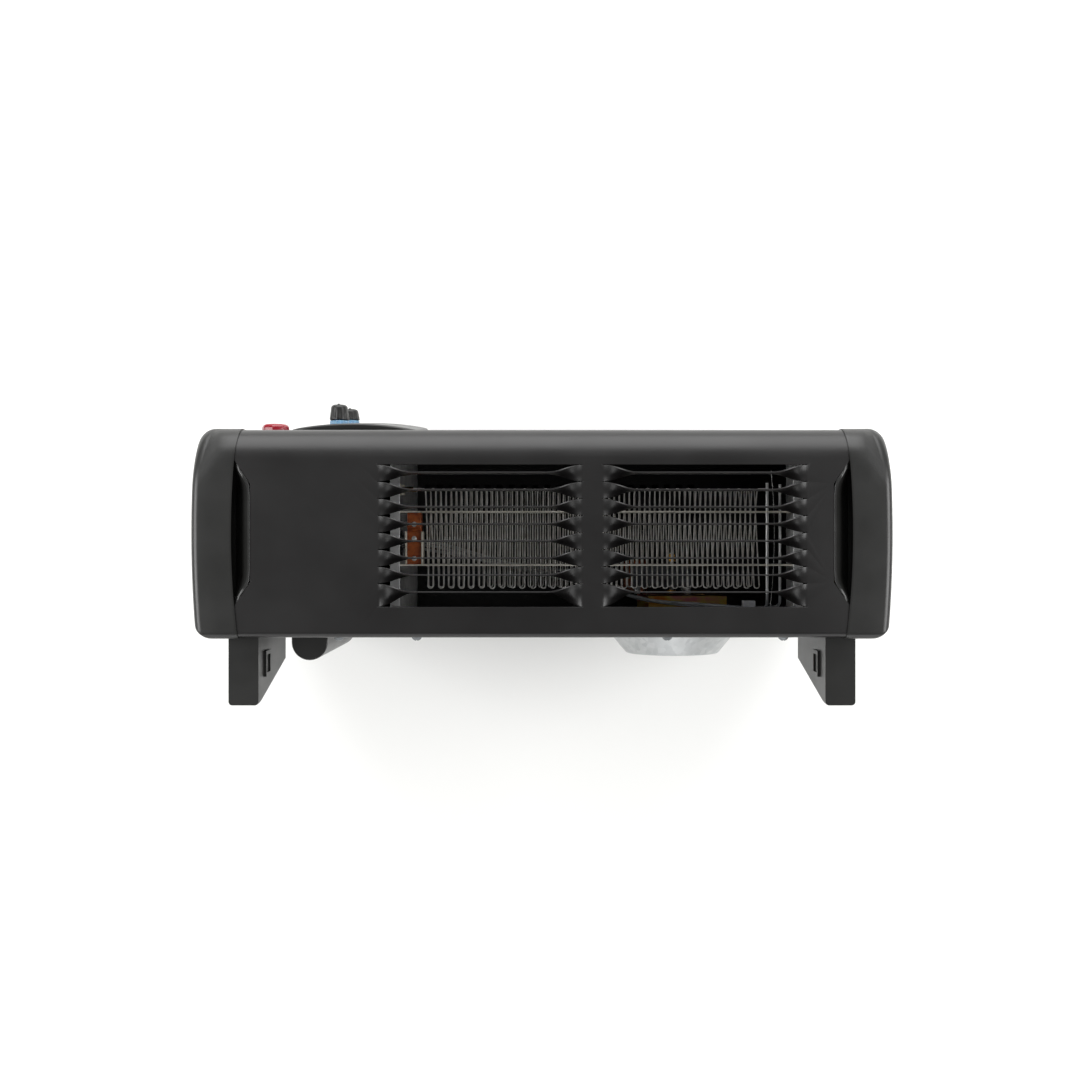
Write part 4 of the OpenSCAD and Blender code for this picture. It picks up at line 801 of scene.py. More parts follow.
def smooth_path(points, steps):
    """More points along a smooth curve through the given ones."""
    points = [Vector(p) for p in points]
    padded = [2 * points[0] - points[1]] + points + [2 * points[-1] - points[-2]]
    path = []
    for a, b, c, d in zip(padded, padded[1:], padded[2:], padded[3:]):
        for i in range(steps):
            t = i / steps
            path.append(0.5 * (2 * b + (c - a) * t + (2 * a - 5 * b + 4 * c - d) * t * t
                               + (3 * b - a - 3 * c + d) * t ** 3))
    return path + [points[-1]]


def tube(path, radius, sides):
    """The skin of a round tube along a path, with closed ends."""
    path = [Vector(p) for p in path]
    rings = []
    ahead = (path[1] - path[0]).normalized()
    across = ahead.orthogonal().normalized()
    for i, point in enumerate(path):
        before = path[max(i - 1, 0)]
        after = path[min(i + 1, len(path) - 1)]
        turned = (after - before).normalized()
        across = ahead.rotation_difference(turned) @ across
        ahead = turned
        rings.append([tuple(point + radius * (Quaternion(ahead, math.tau * k / sides) @ across))
                      for k in range(sides)])
    return loft(rings, ends=True)


def vane_skin(x0, x1, y, front, rear, size, outlet):
    """One vane: a strip of the top sheet that turns on edge between its two flat ends."""
    steps, quickness = 14, 0.6
    half = size.sheet / 2
    z_mid = CAP_TOP - size.proud - half
    turns = [i / steps for i in range(steps + 1)]
    stations = [(x0 + outlet.twist * t, t) for t in turns]
    stations += [(x1 - outlet.twist * t, t) for t in turns[::-1]]
    rings = []
    for x, t in stations:
        a = outlet.turn * (t * t * (3 - 2 * t)) ** quickness
        rings.append([(x, y + c * math.cos(a) + half * math.sin(a),
                       z_mid - c * math.sin(a) + half * math.cos(a))
                      for c in (-front, -front / 2, 0, rear / 2, rear)])
    return loft(rings, around=False)


def vane_edges(outlet):
    """Middle, front half and rear half of each vane."""
    half = (outlet.pitch - outlet.kerf) / 2
    for k in range(outlet.vane_count):
        y = -outlet.front + outlet.pitch * (k + 0.5)
        last = k == outlet.vane_count - 1
        yield y, half, (outlet.rear - y - outlet.kerf / 2) if last else half


def make_casing(context):
    """Sheet steel wrap with its bends, pressed grooves and two louvred windows."""
    size = millimetres(context.scene.heater_casing)
    outlet = millimetres(context.scene.heater_outlet)
    controls = millimetres(context.scene.heater_controls)
    z_top = CAP_TOP - size.proud
    cap_x = END_X - size.cap_width
    bend, reach, r_rear = size.front_bend, size.front_reach, size.rear_bend
    fold, groove_half, groove_steps, margin = 1.5, 4, 5, 0.6
    ring_hole, stem_hole = 5.2, 7.2
    flat_y = -size.grip_long - margin
    groove_end = size.groove_length / 2
    groove_z = [Z_BASE + size.groove_low + i * size.groove_pitch for i in range(size.groove_count)]
    plain_z = groove_z[-1] + 2 * groove_half
    x_keys = [CASING_X] + [groove_end - k for k in (0, 2, 4, 6, 2 * groove_half)]
    x_lines = lines(x_keys + [-x for x in x_keys], widest=14)

    def top_z(y):
        """Height of the top, which falls towards the front along the bend."""
        into = max(Y_FRONT + reach - y, 0) / reach
        return z_top - bend * (1 - math.sqrt(1 - into ** 2))

    def pressed(x, z):
        """Depth of the grooves at a place on the front."""
        near = min(abs(z - g) for g in groove_z)
        end = groove_end - abs(x)
        if near >= groove_half or end <= 0:
            return 0
        across = 0.5 + 0.5 * math.cos(math.pi * near / groove_half)
        along = math.sin(math.pi / 2 * min(end / (2 * groove_half), 1))
        return size.groove_depth * across * along

    low = [(Y_FRONT + size.base_flange, Z_BASE)]
    low += arc((Y_FRONT + fold, Z_BASE + fold), fold, 270, 180, 4)
    z_keys = [g + groove_half * k / groove_steps
              for g in groove_z for k in range(-groove_steps, groove_steps + 1)]
    low += [(Y_FRONT, z) for z in lines([Z_BASE + 2 * fold, plain_z] + z_keys, widest=20)]
    front = loft([[(x, y + (pressed(x, z) if y == Y_FRONT else 0), z) for y, z in low]
                  for x in x_lines], around=False)
    holes = [circle((controls.knob_place, z), ring_hole) for _, z in both_controls(controls)]
    holes.append(circle((controls.lamp_place, controls.lamp_high), stem_hole))
    outline = [(x, plain_z) for x in x_lines] + [(x, z_top - bend) for x in x_lines[::-1]]
    flat, faces = cut_sheet(outline, holes)
    front_flat = [(x, Y_FRONT, z) for x, z in flat], faces

    end = math.degrees(math.acos((flat_y - Y_FRONT - reach) / reach))
    bend_line = [(Y_FRONT + reach * (1 + y), z_top - bend * (1 - z))
                 for y, z in arc((0, 0), 1, 180, end, 16)]
    rear_line = arc((Y_REAR - r_rear, z_top - r_rear), r_rear, 90, 0, 6)
    rear_line.append((Y_REAR, z_top - size.rear_flange))
    front_bend, rear_bend = swept(bend_line, x_lines), swept(rear_line, x_lines)

    windows, vanes = [], []
    for side in (1, -1):
        middle = outlet.web_place + side * (outlet.window + outlet.web) / 2
        x0, x1 = middle - outlet.window / 2, middle + outlet.window / 2
        edge = [-outlet.front]
        for y, ahead, behind in vane_edges(outlet):
            edge += [y - ahead, y - ahead / 2, y, y + behind / 2, y + behind]
            vanes.append(vane_skin(x0, x1, y, ahead, behind, size, outlet))
        edge.append(outlet.rear)
        windows.append([(x0, y) for y in edge] + [(x1, y) for y in edge[::-1]])
    short, long = size.grip_short + GAP, size.grip_long + GAP
    grip = grip_corners(cap_x - size.grip_reach - GAP, CASING_X + GAP, short, long, cap_x)
    grips = [[(side * x, y) for x, y in grip] for side in (-1, 1)]
    ends = [(CASING_X, -long), (CASING_X, long)]
    outline = [(x, flat_y) for x in x_lines] + ends
    outline += [(x, Y_REAR - r_rear) for x in x_lines[::-1]] + [(-x, y) for x, y in ends[::-1]]
    rise = Y_FRONT + reach - flat_y
    easing = [(x, flat_y + rise * k / 3) for x in x_lines[1:-1] for k in (1, 2, 3)]
    flat, faces = cut_sheet(outline, windows + grips, easing)
    top = [(x, y, top_z(y)) for x, y in flat], faces

    obj = piece("casing_wrap", join(front, front_flat, front_bend, top, rear_bend, *vanes),
                "black_steel", ["casing"])
    thicken(obj, size.sheet)
    soften(obj, 0.17, angle=50, clamp=False)


def cap_ring(inset, radii, x_of, size, reach=None):
    """One ring of points round an end cap, drawn in on its four sides.

    The bend between front and top may reach further along the top than it is high.
    """
    corner_steps, side_steps = 8, 16
    front, rear, top, bottom = inset
    longer = (reach or size.front_reach) / size.front_bend
    ease = size.cap_ease if reach else 1
    y0, y1 = Y_FRONT - size.proud + front, Y_REAR + size.proud - rear
    z0, z1 = Z_BASE - size.sheet + bottom, CAP_TOP - top
    corners = ((y0, z1, 1, -1, 180), (y1, z1, -1, -1, 90), (y1, z0, -1, 1, 0), (y0, z0, 1, 1, -90))
    room = (y1 - y0) / (1 + longer) - GAP
    ring = []
    for (cy, cz, sy, sz, start), r in zip(corners, radii):
        front_top = start == 180
        wide = longer if front_top else 1
        r = min(r, room)
        points = arc((0, 0), r, start, start - 90, corner_steps)
        if front_top:
            points = [(-r * (abs(y) / r) ** ease, r * (abs(z) / r) ** ease) for y, z in points]
        ring += [(cy + sy * r * wide + wide * y, cz + sz * r + z, start - 90 * i / corner_steps)
                 for i, (y, z) in enumerate(points)]
    filled = []
    for (ya, za, a), (yb, zb, b) in zip(ring, ring[1:] + ring[:1]):
        n = side_steps if (a - b) % 360 == 0 else 1
        filled += [(y, z, a) for y, z in between((ya, za), (yb, zb), n)]
    return [(x_of(y, math.sin(math.radians(a))), y, z) for y, z, a in filled]


def make_end_caps(context):
    """Moulded end caps: bowed trays with rounded edges that the casing slides into."""
    size = millimetres(context.scene.heater_casing)
    half = Y_REAR + size.proud
    r_out = bow_radius(half, size.bow_outer)
    side_r, top_r, low_r = size.cap_corner, size.cap_edge, 2
    full = (size.front_bend + size.proud, size.rear_bend + size.proud, low_r, low_r)
    wall, lip, slide, steps = size.cap_wall, 0.4, size.proud - GAP, 9

    def face_x(y):
        """Place of the bowed outer face along the heater."""
        return END_X - r_out + math.sqrt(max(r_out ** 2 - y ** 2, 0))

    def shrunk(d):
        """Corner radii of a ring that is drawn in."""
        return [max(r - d, 0.6) for r in full]

    def edge_r(up):
        """Radius of the outer edge, by how far the surface faces up."""
        return low_r if up < -0.5 else side_r + (top_r - side_r) * max(up, 0) ** 2

    def outer_x(y, up, turn):
        """Place of the rounded outer edge at one turn of its arc, within the corners' plan."""
        past = max(abs(y) - (half - side_r), 0)
        corner = side_r - math.sqrt(max(side_r ** 2 - past ** 2, 0))
        return face_x(y) - max(edge_r(up) * (1 - turn), corner)

    def even_ring(inset, x_of, reach=None):
        """A ring that is drawn in alike on all four sides."""
        return cap_ring([inset] * 4, shrunk(inset), x_of, size, reach)

    rings = [even_ring(inset, lambda y, up, d=behind: cap_edge_x(y, size) + d)
             for inset, behind in ((lip, 0), (lip / 4, lip / 4), (0, lip), (0, 4 * lip))]
    rings.append(even_ring(0, lambda y, up: CASING_X + 0.5))
    for i in range(steps + 1):
        a = math.pi / 2 * i / steps
        away = 1 - math.cos(a)
        rings.append(cap_ring(
            [side_r * away, side_r * away, top_r * away, low_r * away], shrunk(top_r * away),
            lambda y, up, turn=math.sin(a): outer_x(y, up, turn), size, size.cap_reach))
    for inset in (20, 35, 50, 65, 76):
        more = inset - side_r
        rings.append(cap_ring(
            [inset, inset, top_r + more, low_r + more], shrunk(top_r), lambda y, up: face_x(y),
            size, size.cap_reach))
    inner = [even_ring(inset, lambda y, up, d=deep: face_x(y) - d, size.cap_reach)
             for inset, deep in ((75, wall), (40, wall), (side_r + wall, wall),
                                 (wall + 2, wall + 2), (wall, 12))]
    inner += [even_ring(wall, lambda y, up: CASING_X + 0.6),
              even_ring(slide, lambda y, up: CASING_X + GAP),
              even_ring(slide, lambda y, up: cap_edge_x(y, size))]
    points, faces = join(loft(rings), loft(inner))
    n = len(rings[0])
    middle, last = len(rings) * n, len(points) - n
    faces += [tuple(range(middle - n, middle)), tuple(reversed(range(middle, middle + n)))]
    faces += [(last + j, last + (j + 1) % n, (j + 1) % n, j) for j in range(n)]
    pair("end_cap_shell", (points, faces), "black_abs", "end_cap")


def make_grip_cups(context):
    """Scooped hand grips that run in under the end caps."""
    size = millimetres(context.scene.heater_casing)
    cap_x = END_X - size.cap_width
    z_top = CAP_TOP - size.proud
    low_lip = CAP_TOP - size.cap_wall - GAP
    wall, rim, depth, under = 2, 0.6, 24, 16
    dip_start, dip_length, steps = 7, 4, 8
    floor_short, floor_long, floor_reach = 2, 8, size.grip_reach - 1

    def ring(inset, sink, fraction):
        """Points round the grip: its mouth at fraction 0, its floor at fraction 1."""
        corners = grip_corners(
            cap_x - size.grip_reach + inset + fraction * floor_reach, cap_x + under - inset,
            size.grip_short - inset - floor_short * fraction,
            size.grip_long - inset - floor_long * fraction, cap_x)
        loop = []
        for a, b in zip(corners, corners[1:] + corners[:1]):
            loop += between(a, b, steps)
        rounded = []
        for i, (x, y) in enumerate(loop):
            before, after = loop[i - 1], loop[(i + 1) % len(loop)]
            x = 0.5 * x + 0.25 * (before[0] + after[0])
            y = 0.5 * y + 0.25 * (before[1] + after[1])
            dip = min(max((x - cap_x + dip_start) / dip_length, 0), 1)
            top = z_top + rim + dip * (low_lip - z_top - rim)
            rounded.append((x, y, min(z_top - sink, top)))
        return rounded

    rings = [ring(0, depth, 0), ring(0, 0, 0), ring(0, 0.3 - rim, 0), ring(0.3, -rim, 0),
             ring(wall - 0.5, -rim, 0), ring(wall - 0.1, 0.4 - rim, 0)]
    for i in range(1, steps + 1):
        t = i / steps
        rings.append(ring(wall, (depth - wall) * t ** 1.15, t))
    pair("grip_scoop", loft(rings, ends=True), "black_abs", "grip_cup")


def make_control_plate(context):
    """Slanted plate, bowed across its width, with a round hole for each dial ring."""
    size = millimetres(context.scene.heater_controls)
    width, length, edge = size.plate_width, size.plate_length, size.plate_edge
    hole, step, edge_step, thick = size.ring + 0.35, 4, 5, 1.6
    r_w = bow_radius(width / 2, size.bow)
    slope = (size.low_out - size.top_out) / length

    def height(x, z):
        """Height of the plate above the casing, at a place from its middle."""
        return (size.top_out + (length / 2 - z) * slope
                - r_w + math.sqrt(r_w ** 2 - min(abs(x), width / 2) ** 2))

    def placed(x, z, out):
        """A point at a place from the plate's middle and a height above the casing."""
        return size.plate_place + x, Y_FRONT - out, size.plate_high + z

    def loop(inset):
        """The plate's outline, drawn in."""
        return round_box((-width / 2 + inset, -length / 2 + inset),
                         (width / 2 - inset, length / 2 - inset), size.plate_corner - inset, 8)

    def rim(inset):
        """The divided outline, stretched to another inset."""
        sx = (width / 2 - inset) / (width / 2 - edge)
        sz = (length / 2 - inset) / (length / 2 - edge)
        return [(x * sx, z * sz) for x, z in outline]

    knobs = [(size.knob_place - size.plate_place, z - size.plate_high)
             for _, z in both_controls(size)]
    flat = loop(edge)
    outline = []
    for a, b in zip(flat, flat[1:] + flat[:1]):
        outline += between(a, b, max(1, round(math.dist(a, b) / edge_step)))
    columns, rows = int(width / 2 / step), int(length / 2 / step)
    extra = []
    for i in range(-columns, columns + 1):
        for k in range(-rows, rows + 1):
            p = (i * step, k * step)
            clear = all(math.dist(p, at) > hole + 1 for at in knobs)
            if clear and inside(p, loop(edge + 2)):
                extra.append(p)
    points, faces = cut_sheet(outline, [circle(at, hole, 36) for at in knobs], extra)
    face = [placed(x, z, height(x, z)) for x, z in points], faces
    skirt = []
    for turn in (0, 22.5, 45, 67.5, 90):
        a = math.radians(turn)
        inset, drop = edge * (1 - math.sin(a)), edge * (1 - math.cos(a))
        skirt.append([placed(x, z, height(x, z) - drop) for x, z in rim(inset)])
    skirt.append([placed(x, z, 0) for x, z in rim(0)])
    obj = piece("control_plate_face", join(face, loft(skirt)), "black_abs", ["control_plate"])
    thicken(obj, thick)
    modifier(obj, "WEIGHTED_NORMAL", keep_sharp=True)


def make_dial_rings(context):
    """Pale blue rings behind the knobs, with soft lumps round their rim."""
    size = millimetres(context.scene.heater_controls)
    bore, r, lump = 5.2, size.ring, 0.3

    def lumpy(angle, radius, y):
        """Radius of the ring, drawn in between the lumps of its rim."""
        near = max(0, (radius - bore - 1) / (r - bore - 1))
        return radius - lump * near * (0.5 - 0.5 * math.cos(size.lumps * angle))

    for name, z in both_controls(size):
        face_y = box_of(name + "_dial_ring")[0][1]
        profile = [(bore, Y_FRONT), (r - 1, Y_FRONT), (r, Y_FRONT - 0.5), (r, face_y + 3)]
        profile += [(r - 1 + math.cos(a), face_y + 1 - math.sin(a))
                    for a in (0.2, 0.55, 0.9, 1.25, math.pi / 2)]
        profile += [(bore + 0.6, face_y), (bore, face_y + 0.6), (bore, Y_FRONT)]
        piece(name + "_ring", spun(profile, (size.knob_place, z), 144, lumpy), "ring_blue",
              [name + "_dial_ring"])


def make_knobs(context):
    """Tapered knobs with a domed end, shallow grip flutes and a raised pointer."""
    size = millimetres(context.scene.heater_controls)
    pointer, dome, cap, bore = 0.8, 3.2, 3, 3.05
    foot, flute, half_pointer, steps = 0.7, 0.5, 0.9, 8
    base_r, tip_r = size.knob_base, size.knob_tip
    for name, z in both_controls(size):
        (_, end_y, _), (_, base_y, _) = box_of(name + "_knob")
        tip_y, bore_y = end_y + pointer, end_y + cap
        tall = base_y - tip_y - dome - foot
        profile = [(0, bore_y), (bore, bore_y), (bore, base_y), (base_r - 0.8, base_y),
                   (base_r - 0.2, base_y - 0.15), (base_r, base_y - foot)]
        for k in range(1, steps + 1):
            side_r = base_r + (tip_r - base_r) * k / steps
            profile.append((side_r, base_y - foot - tall * k / steps))
        for k in range(1, steps + 1):
            a = math.pi / 2 * k / steps
            profile.append((tip_r - dome + dome * math.cos(a), tip_y + dome - dome * math.sin(a)))
        profile += [(2, tip_y), (0, tip_y)]

        def fluted(angle, radius, y):
            """Radius of the knob's side, drawn in at the flutes between foot and dome."""
            if radius < tip_r - dome * 0.35:
                return radius
            along = (base_y - y) / (base_y - tip_y - dome)
            lobe = abs(math.sin(size.flutes * angle / 2)) ** 6
            return radius - flute * lobe * min(max(4 * along, 0), 1) * max(1 - along, 0)

        under, over = z + 0.5, z + tip_r - 1.2
        rings = []
        for inset, out in ((0, -0.3), (0, 0.5), (0.25, pointer - 0.05), (0.5, pointer)):
            ring = []
            for u, v in round_box((inset - half_pointer, under + inset),
                                  (half_pointer - inset, over - inset), 0.35, 3):
                away = max(0, math.hypot(u, v - z) - (tip_r - dome))
                fall = dome - math.sqrt(max(dome ** 2 - away ** 2, 0))
                ring.append((size.knob_place + u, tip_y + fall - out, v))
            rings.append(ring)
        skin = join(spun(profile, (size.knob_place, z), 144, fluted), loft(rings, ends=True))
        piece(name + "_grip_knob", skin, "black_abs", [name + "_knob"], body=name + "_control")


def make_pilot_lens(context):
    """Crimson lens: a flat jewel with eight soft facets, on a stem through the front."""
    size = millimetres(context.scene.heater_controls)
    stem, wall, long, facets = 7, 1.5, 12, 8
    r, edge, face_y = size.lamp, size.lamp_round, Y_FRONT - size.lamp_out
    hollow_y = Y_FRONT - size.lamp_out / 2
    profile = [(stem - wall, hollow_y), (stem - wall, Y_FRONT + long), (stem, Y_FRONT + long),
               (stem, Y_FRONT + 0.1), (r - 0.4, Y_FRONT), (r, Y_FRONT - 0.4),
               (r, face_y + edge + 1.5)]
    profile += [(r - edge + edge * math.cos(a), face_y + edge - edge * math.sin(a))
                for a in (math.pi / 2 * k / 6 for k in range(7))]
    profile += [(r - edge - 1.5, face_y - 0.05), (2, face_y - 0.15), (0, face_y - 0.15),
                (0, hollow_y), (stem - wall, hollow_y)]

    def jewelled(angle, radius, y):
        """Radius of the jewel, flattened a little on each facet."""
        step = math.tau / facets
        off = angle % step - step / 2
        flat = math.cos(step / 2) / math.cos(off)
        share = min(max((radius - stem) / (r - stem), 0), 1) if y < Y_FRONT - 0.2 else 0
        return radius * (1 - 0.7 * share * (1 - flat))

    skin = spun(profile, (size.lamp_place, size.lamp_high), 96, jewelled)
    piece("pilot_lens_jewel", skin, "lens_red", ["pilot_lens"])


def wire_run(size, shift, x_end, slope, draw):
    """Centre line of one heating wire: a zig-zag whose plane leans front to back."""
    pin_reach, sway, shorter, longer = 17, 0.32, -0.5, 0.15
    pitch, r = size.leg_pitch, size.leg_pitch / 2
    half_u = math.hypot(size.half_depth, size.half_rise)
    lean = math.atan2(size.half_rise, size.half_depth)
    straight = half_u - r
    legs = 2 * size.loops
    uneven = [draw.uniform(-sway, sway) for _ in range(legs + 1)]
    over = [draw.uniform(shorter, longer) for _ in range(legs + 1)]
    first = size.wire_place - shift
    flat = [(BULKHEAD_X - pin_reach, -half_u), (first + 2 * r, -half_u)]
    flat += [at_angle((first + r, -straight), r, a) for a in (245, 225, 205, 180)]
    for j in range(legs):
        x = first - j * pitch
        side = 1 if j % 2 == 0 else -1
        for t in (-0.7, -0.4, -0.1, 0.2, 0.5, 0.8):
            share = (t + 1) / 2
            flat.append((x + uneven[j] * (1 - share) + uneven[j + 1] * share, side * straight * t))
        if j < legs - 1:
            for a in range(0, 181, 20):
                turn_x, turn_u = at_angle((x - r, straight + over[j]), r, a)
                flat.append((turn_x + uneven[j + 1], side * turn_u))
    last = first - (legs - 1) * pitch
    flat += [at_angle((last - r, -straight), r, a) for a in (-25, -45, -65, -90)]
    flat.append((x_end, -half_u))
    return [(x, size.element_place + u * math.cos(lean),
             size.element_high + slope * u * math.sin(lean)) for x, u in flat]


def make_heating_wires(context):
    """The two zig-zag wires, a little uneven as if bent by hand."""
    size = millimetres(context.scene.heater_works)
    draw = random.Random(7)
    # Shift along the heater, place of the rod that the wire ends on, and slope to the rear
    runs = {"upper": (0, -188.75, -1), "lower": (size.leg_pitch / 2, -204.75, 1)}
    for name, run in runs.items():
        skin = tube(wire_run(size, *run, draw), size.wire / 2, 8)
        piece("zigzag_wire_" + name, skin, "nichrome", ["heating_wire_" + name], sharp=80)


# Centre lines of the longer leads, point by point
FAN_RUN = [
    (163, -30, 222), (157, -12, 212), (148, 2, 207), (138, 7, 206), (124, 8, 206), (108, 8, 205),
    (92, 10, 201), (74, 15, 195), (54, 21, 189), (32, 27, 184), (8, 31, 180), (-18, 34, 177),
    (-44, 35, 175), (-62, 36, 173), (-73, 37, 170),
]
RETURN_RUN_A = [
    (-190, 51, 266), (-190, 56, 266), (-190, 60, 264), (-189, 62.5, 259), (-187, 63, 253),
    (-183, 63, 249.5), (-172, 63, 249.5), (-160, 62, 247.5), (-130, 60, 241.5), (-100, 58, 236),
    (-80, 54, 232), (-60, 50, 228), (-24, 41, 222), (12, 32, 217), (46, 24.5, 212.5),
    (76, 18, 208.5), (98, 14.5, 206), (112, 11.6, 203.8), (124, 11.5, 203.5), (138, 12, 206),
    (146, 5, 222), (151, -10, 246), (156, -32, 275), (160, -44, 290), (160, -51, 295),
    (160, -56, 295),
]
RETURN_RUN_B = [
    (-206, 51, 234), (-206, 56, 234), (-205, 61, 235.5), (-200, 63, 240), (-192, 63, 245),
    (-183, 63, 246.3), (-172, 63, 246.3), (-160, 62.5, 243), (-130, 62, 234.5), (-100, 59, 229.5),
    (-84, 56, 227), (-60, 49, 222), (-24, 40, 216), (12, 31, 211), (46, 21, 208.5),
    (76, 12, 207.5), (98, 7, 208), (112, 4.8, 208.4), (124, 4.5, 208.5), (136, 4, 212),
    (150, -3, 226), (161, -14, 250), (169, -32, 276), (172, -44, 290), (172, -51, 295),
    (172, -56, 295),
]


def make_leads(context):
    """Silicone leads along their runs, from the rods and motor to the controls."""
    radius = millimetres(context.scene.heater_works).lead
    fan = []
    for off in (-1.5, 1.5):
        run = [(166, -50, 225 + off), (166, -45, 225 + off)]
        run += [(x, y + off, z + off) for x, y, z in FAN_RUN]
        run += [(-79, 38 + off, 166), (-79, 38 + off, 161)]
        fan.append(run)
    control = [
        [(138.4, -38, 266), (143.4, -38, 266), (150, -40, 276), (154, -43, 290), (156, -47, 300),
         (156, -51, 304), (156, -56, 304)],
        [(138.4, -38, 234), (143.4, -38, 234), (150, -41, 235), (155, -45, 235), (155, -50, 235)],
    ]
    for s in (-1, 1):
        control.append([
            (181 + 11 * s, 70, 254), (181 + 11 * s, 70, 263), (181 + 10 * s, 60, 276),
            (181 + 7 * s, 32, 293), (177 + 3 * s, 0, 301), (177 + 3 * s, -34, 305),
            (177 + 3 * s, -51, 306), (177 + 3 * s, -56, 306)])
    groups = {"fan": fan, "return": [RETURN_RUN_A, RETURN_RUN_B], "control": control}
    for name, runs in groups.items():
        skins = [tube(smooth_path(run, 5), radius, 12) for run in runs]
        piece(name + "_lead_runs", join(*skins), "lead_grey", [name + "_leads"], sharp=80)


def make_motor_coil(context):
    """Motor winding: turns of enamelled wire laid round the core's limb."""
    (x0, y0, z0), (x1, y1, z1) = box_of("motor_coil")
    turns, per_turn, wire_dip, taper, even_half = 22, 4, 0.35, 0.4, 9
    limb_low, limb_high = (x1 - 16.1, y0 + 4.9), (x1 - 5.9, y1 - 4.9)
    levels = turns * per_turn
    rings = []
    for k in range(levels + 1):
        z = z0 + (z1 - z0) * k / levels
        past = max(0, abs(z - (z0 + z1) / 2) - even_half)
        dip = wire_dip * (0.5 + 0.5 * math.cos(math.tau * k / per_turn)) + past * taper
        outline = round_box((x0 + dip, y0 + dip), (x1 - dip, y1 - dip), 4)
        rings.append([(x, y, z) for x, y in outline])
    rings += [[(x, y, z) for x, y in round_box(limb_low, limb_high, 1)] for z in (z1, z0)]
    piece("motor_winding", loft(rings, closed=True), "copper", ["motor_coil"])


def make_impeller(context):
    """Moulded impeller: a cupped hub with pitched, rounded blades."""
    size = millimetres(context.scene.heater_works)
    (x0, y0, z0), (x1, y1, z1) = box_of("impeller")
    centre = ((x0 + x1) / 2, (z0 + z1) / 2)
    depth, tip, hub, boss, bore, floor_y = y1 - y0, (x1 - x0) / 2, 14, 4.5, 2, y0 + 6
    root_sink, tip_gap, untwist, sweep = 0.6, 0.4, 0.42, 0.18
    half_thick, camber, chord_steps, span_steps = 0.9, 1.6, 8, 10
    profile = [(bore, y0), (hub - 1, y0), (hub - 0.3, y0 + 0.3), (hub, y0 + 1), (hub, y1 - 0.6),
               (hub - 0.6, y1), (hub - 1.6, y1), (hub - 2, y1 - 0.5), (hub - 2, floor_y),
               (boss, floor_y), (boss, y1 - 0.4), (boss - 0.4, y1), (bore, y1), (bore, y0)]
    skins = [spun(profile, centre, 72)]
    along = [j / chord_steps for j in range(chord_steps + 1)]
    for k in range(size.blades):
        rings = []
        for i in range(span_steps + 1):
            t = i / span_steps
            r = hub - root_sink + (tip - tip_gap - hub + root_sink) * t
            pitch = size.blade_pitch * (1 - untwist * t)
            chord = min((depth - 2) / math.sin(pitch), 20 + 10 * t)
            round_tip = 1 - 0.25 * max(0, (t - 0.8) / 0.2) ** 2
            ring = []
            for side, order in ((1, along), (-1, along[::-1])):
                for u in order:
                    s = (u - 0.5) * chord * round_tip
                    thick = half_thick * (1 - 0.75 * abs(2 * u - 1) ** 3) * (1 - 0.3 * t)
                    lift = side * thick + camber * (1 - (2 * u - 1) ** 2)
                    across = s * math.cos(pitch) - lift * math.sin(pitch)
                    deep = s * math.sin(pitch) + lift * math.cos(pitch)
                    a = math.tau * k / size.blades + across / r + sweep * t
                    y = min(max((y0 + y1) / 2 + deep, y0 + 0.2), y1 - 0.2)
                    ring.append((centre[0] + r * math.cos(a), y, centre[1] + r * math.sin(a)))
            rings.append(ring)
        skins.append(loft(rings, ends=True))
    piece("fan_impeller", join(*skins), "impeller_nylon", ["impeller"], body="fan_rotor")


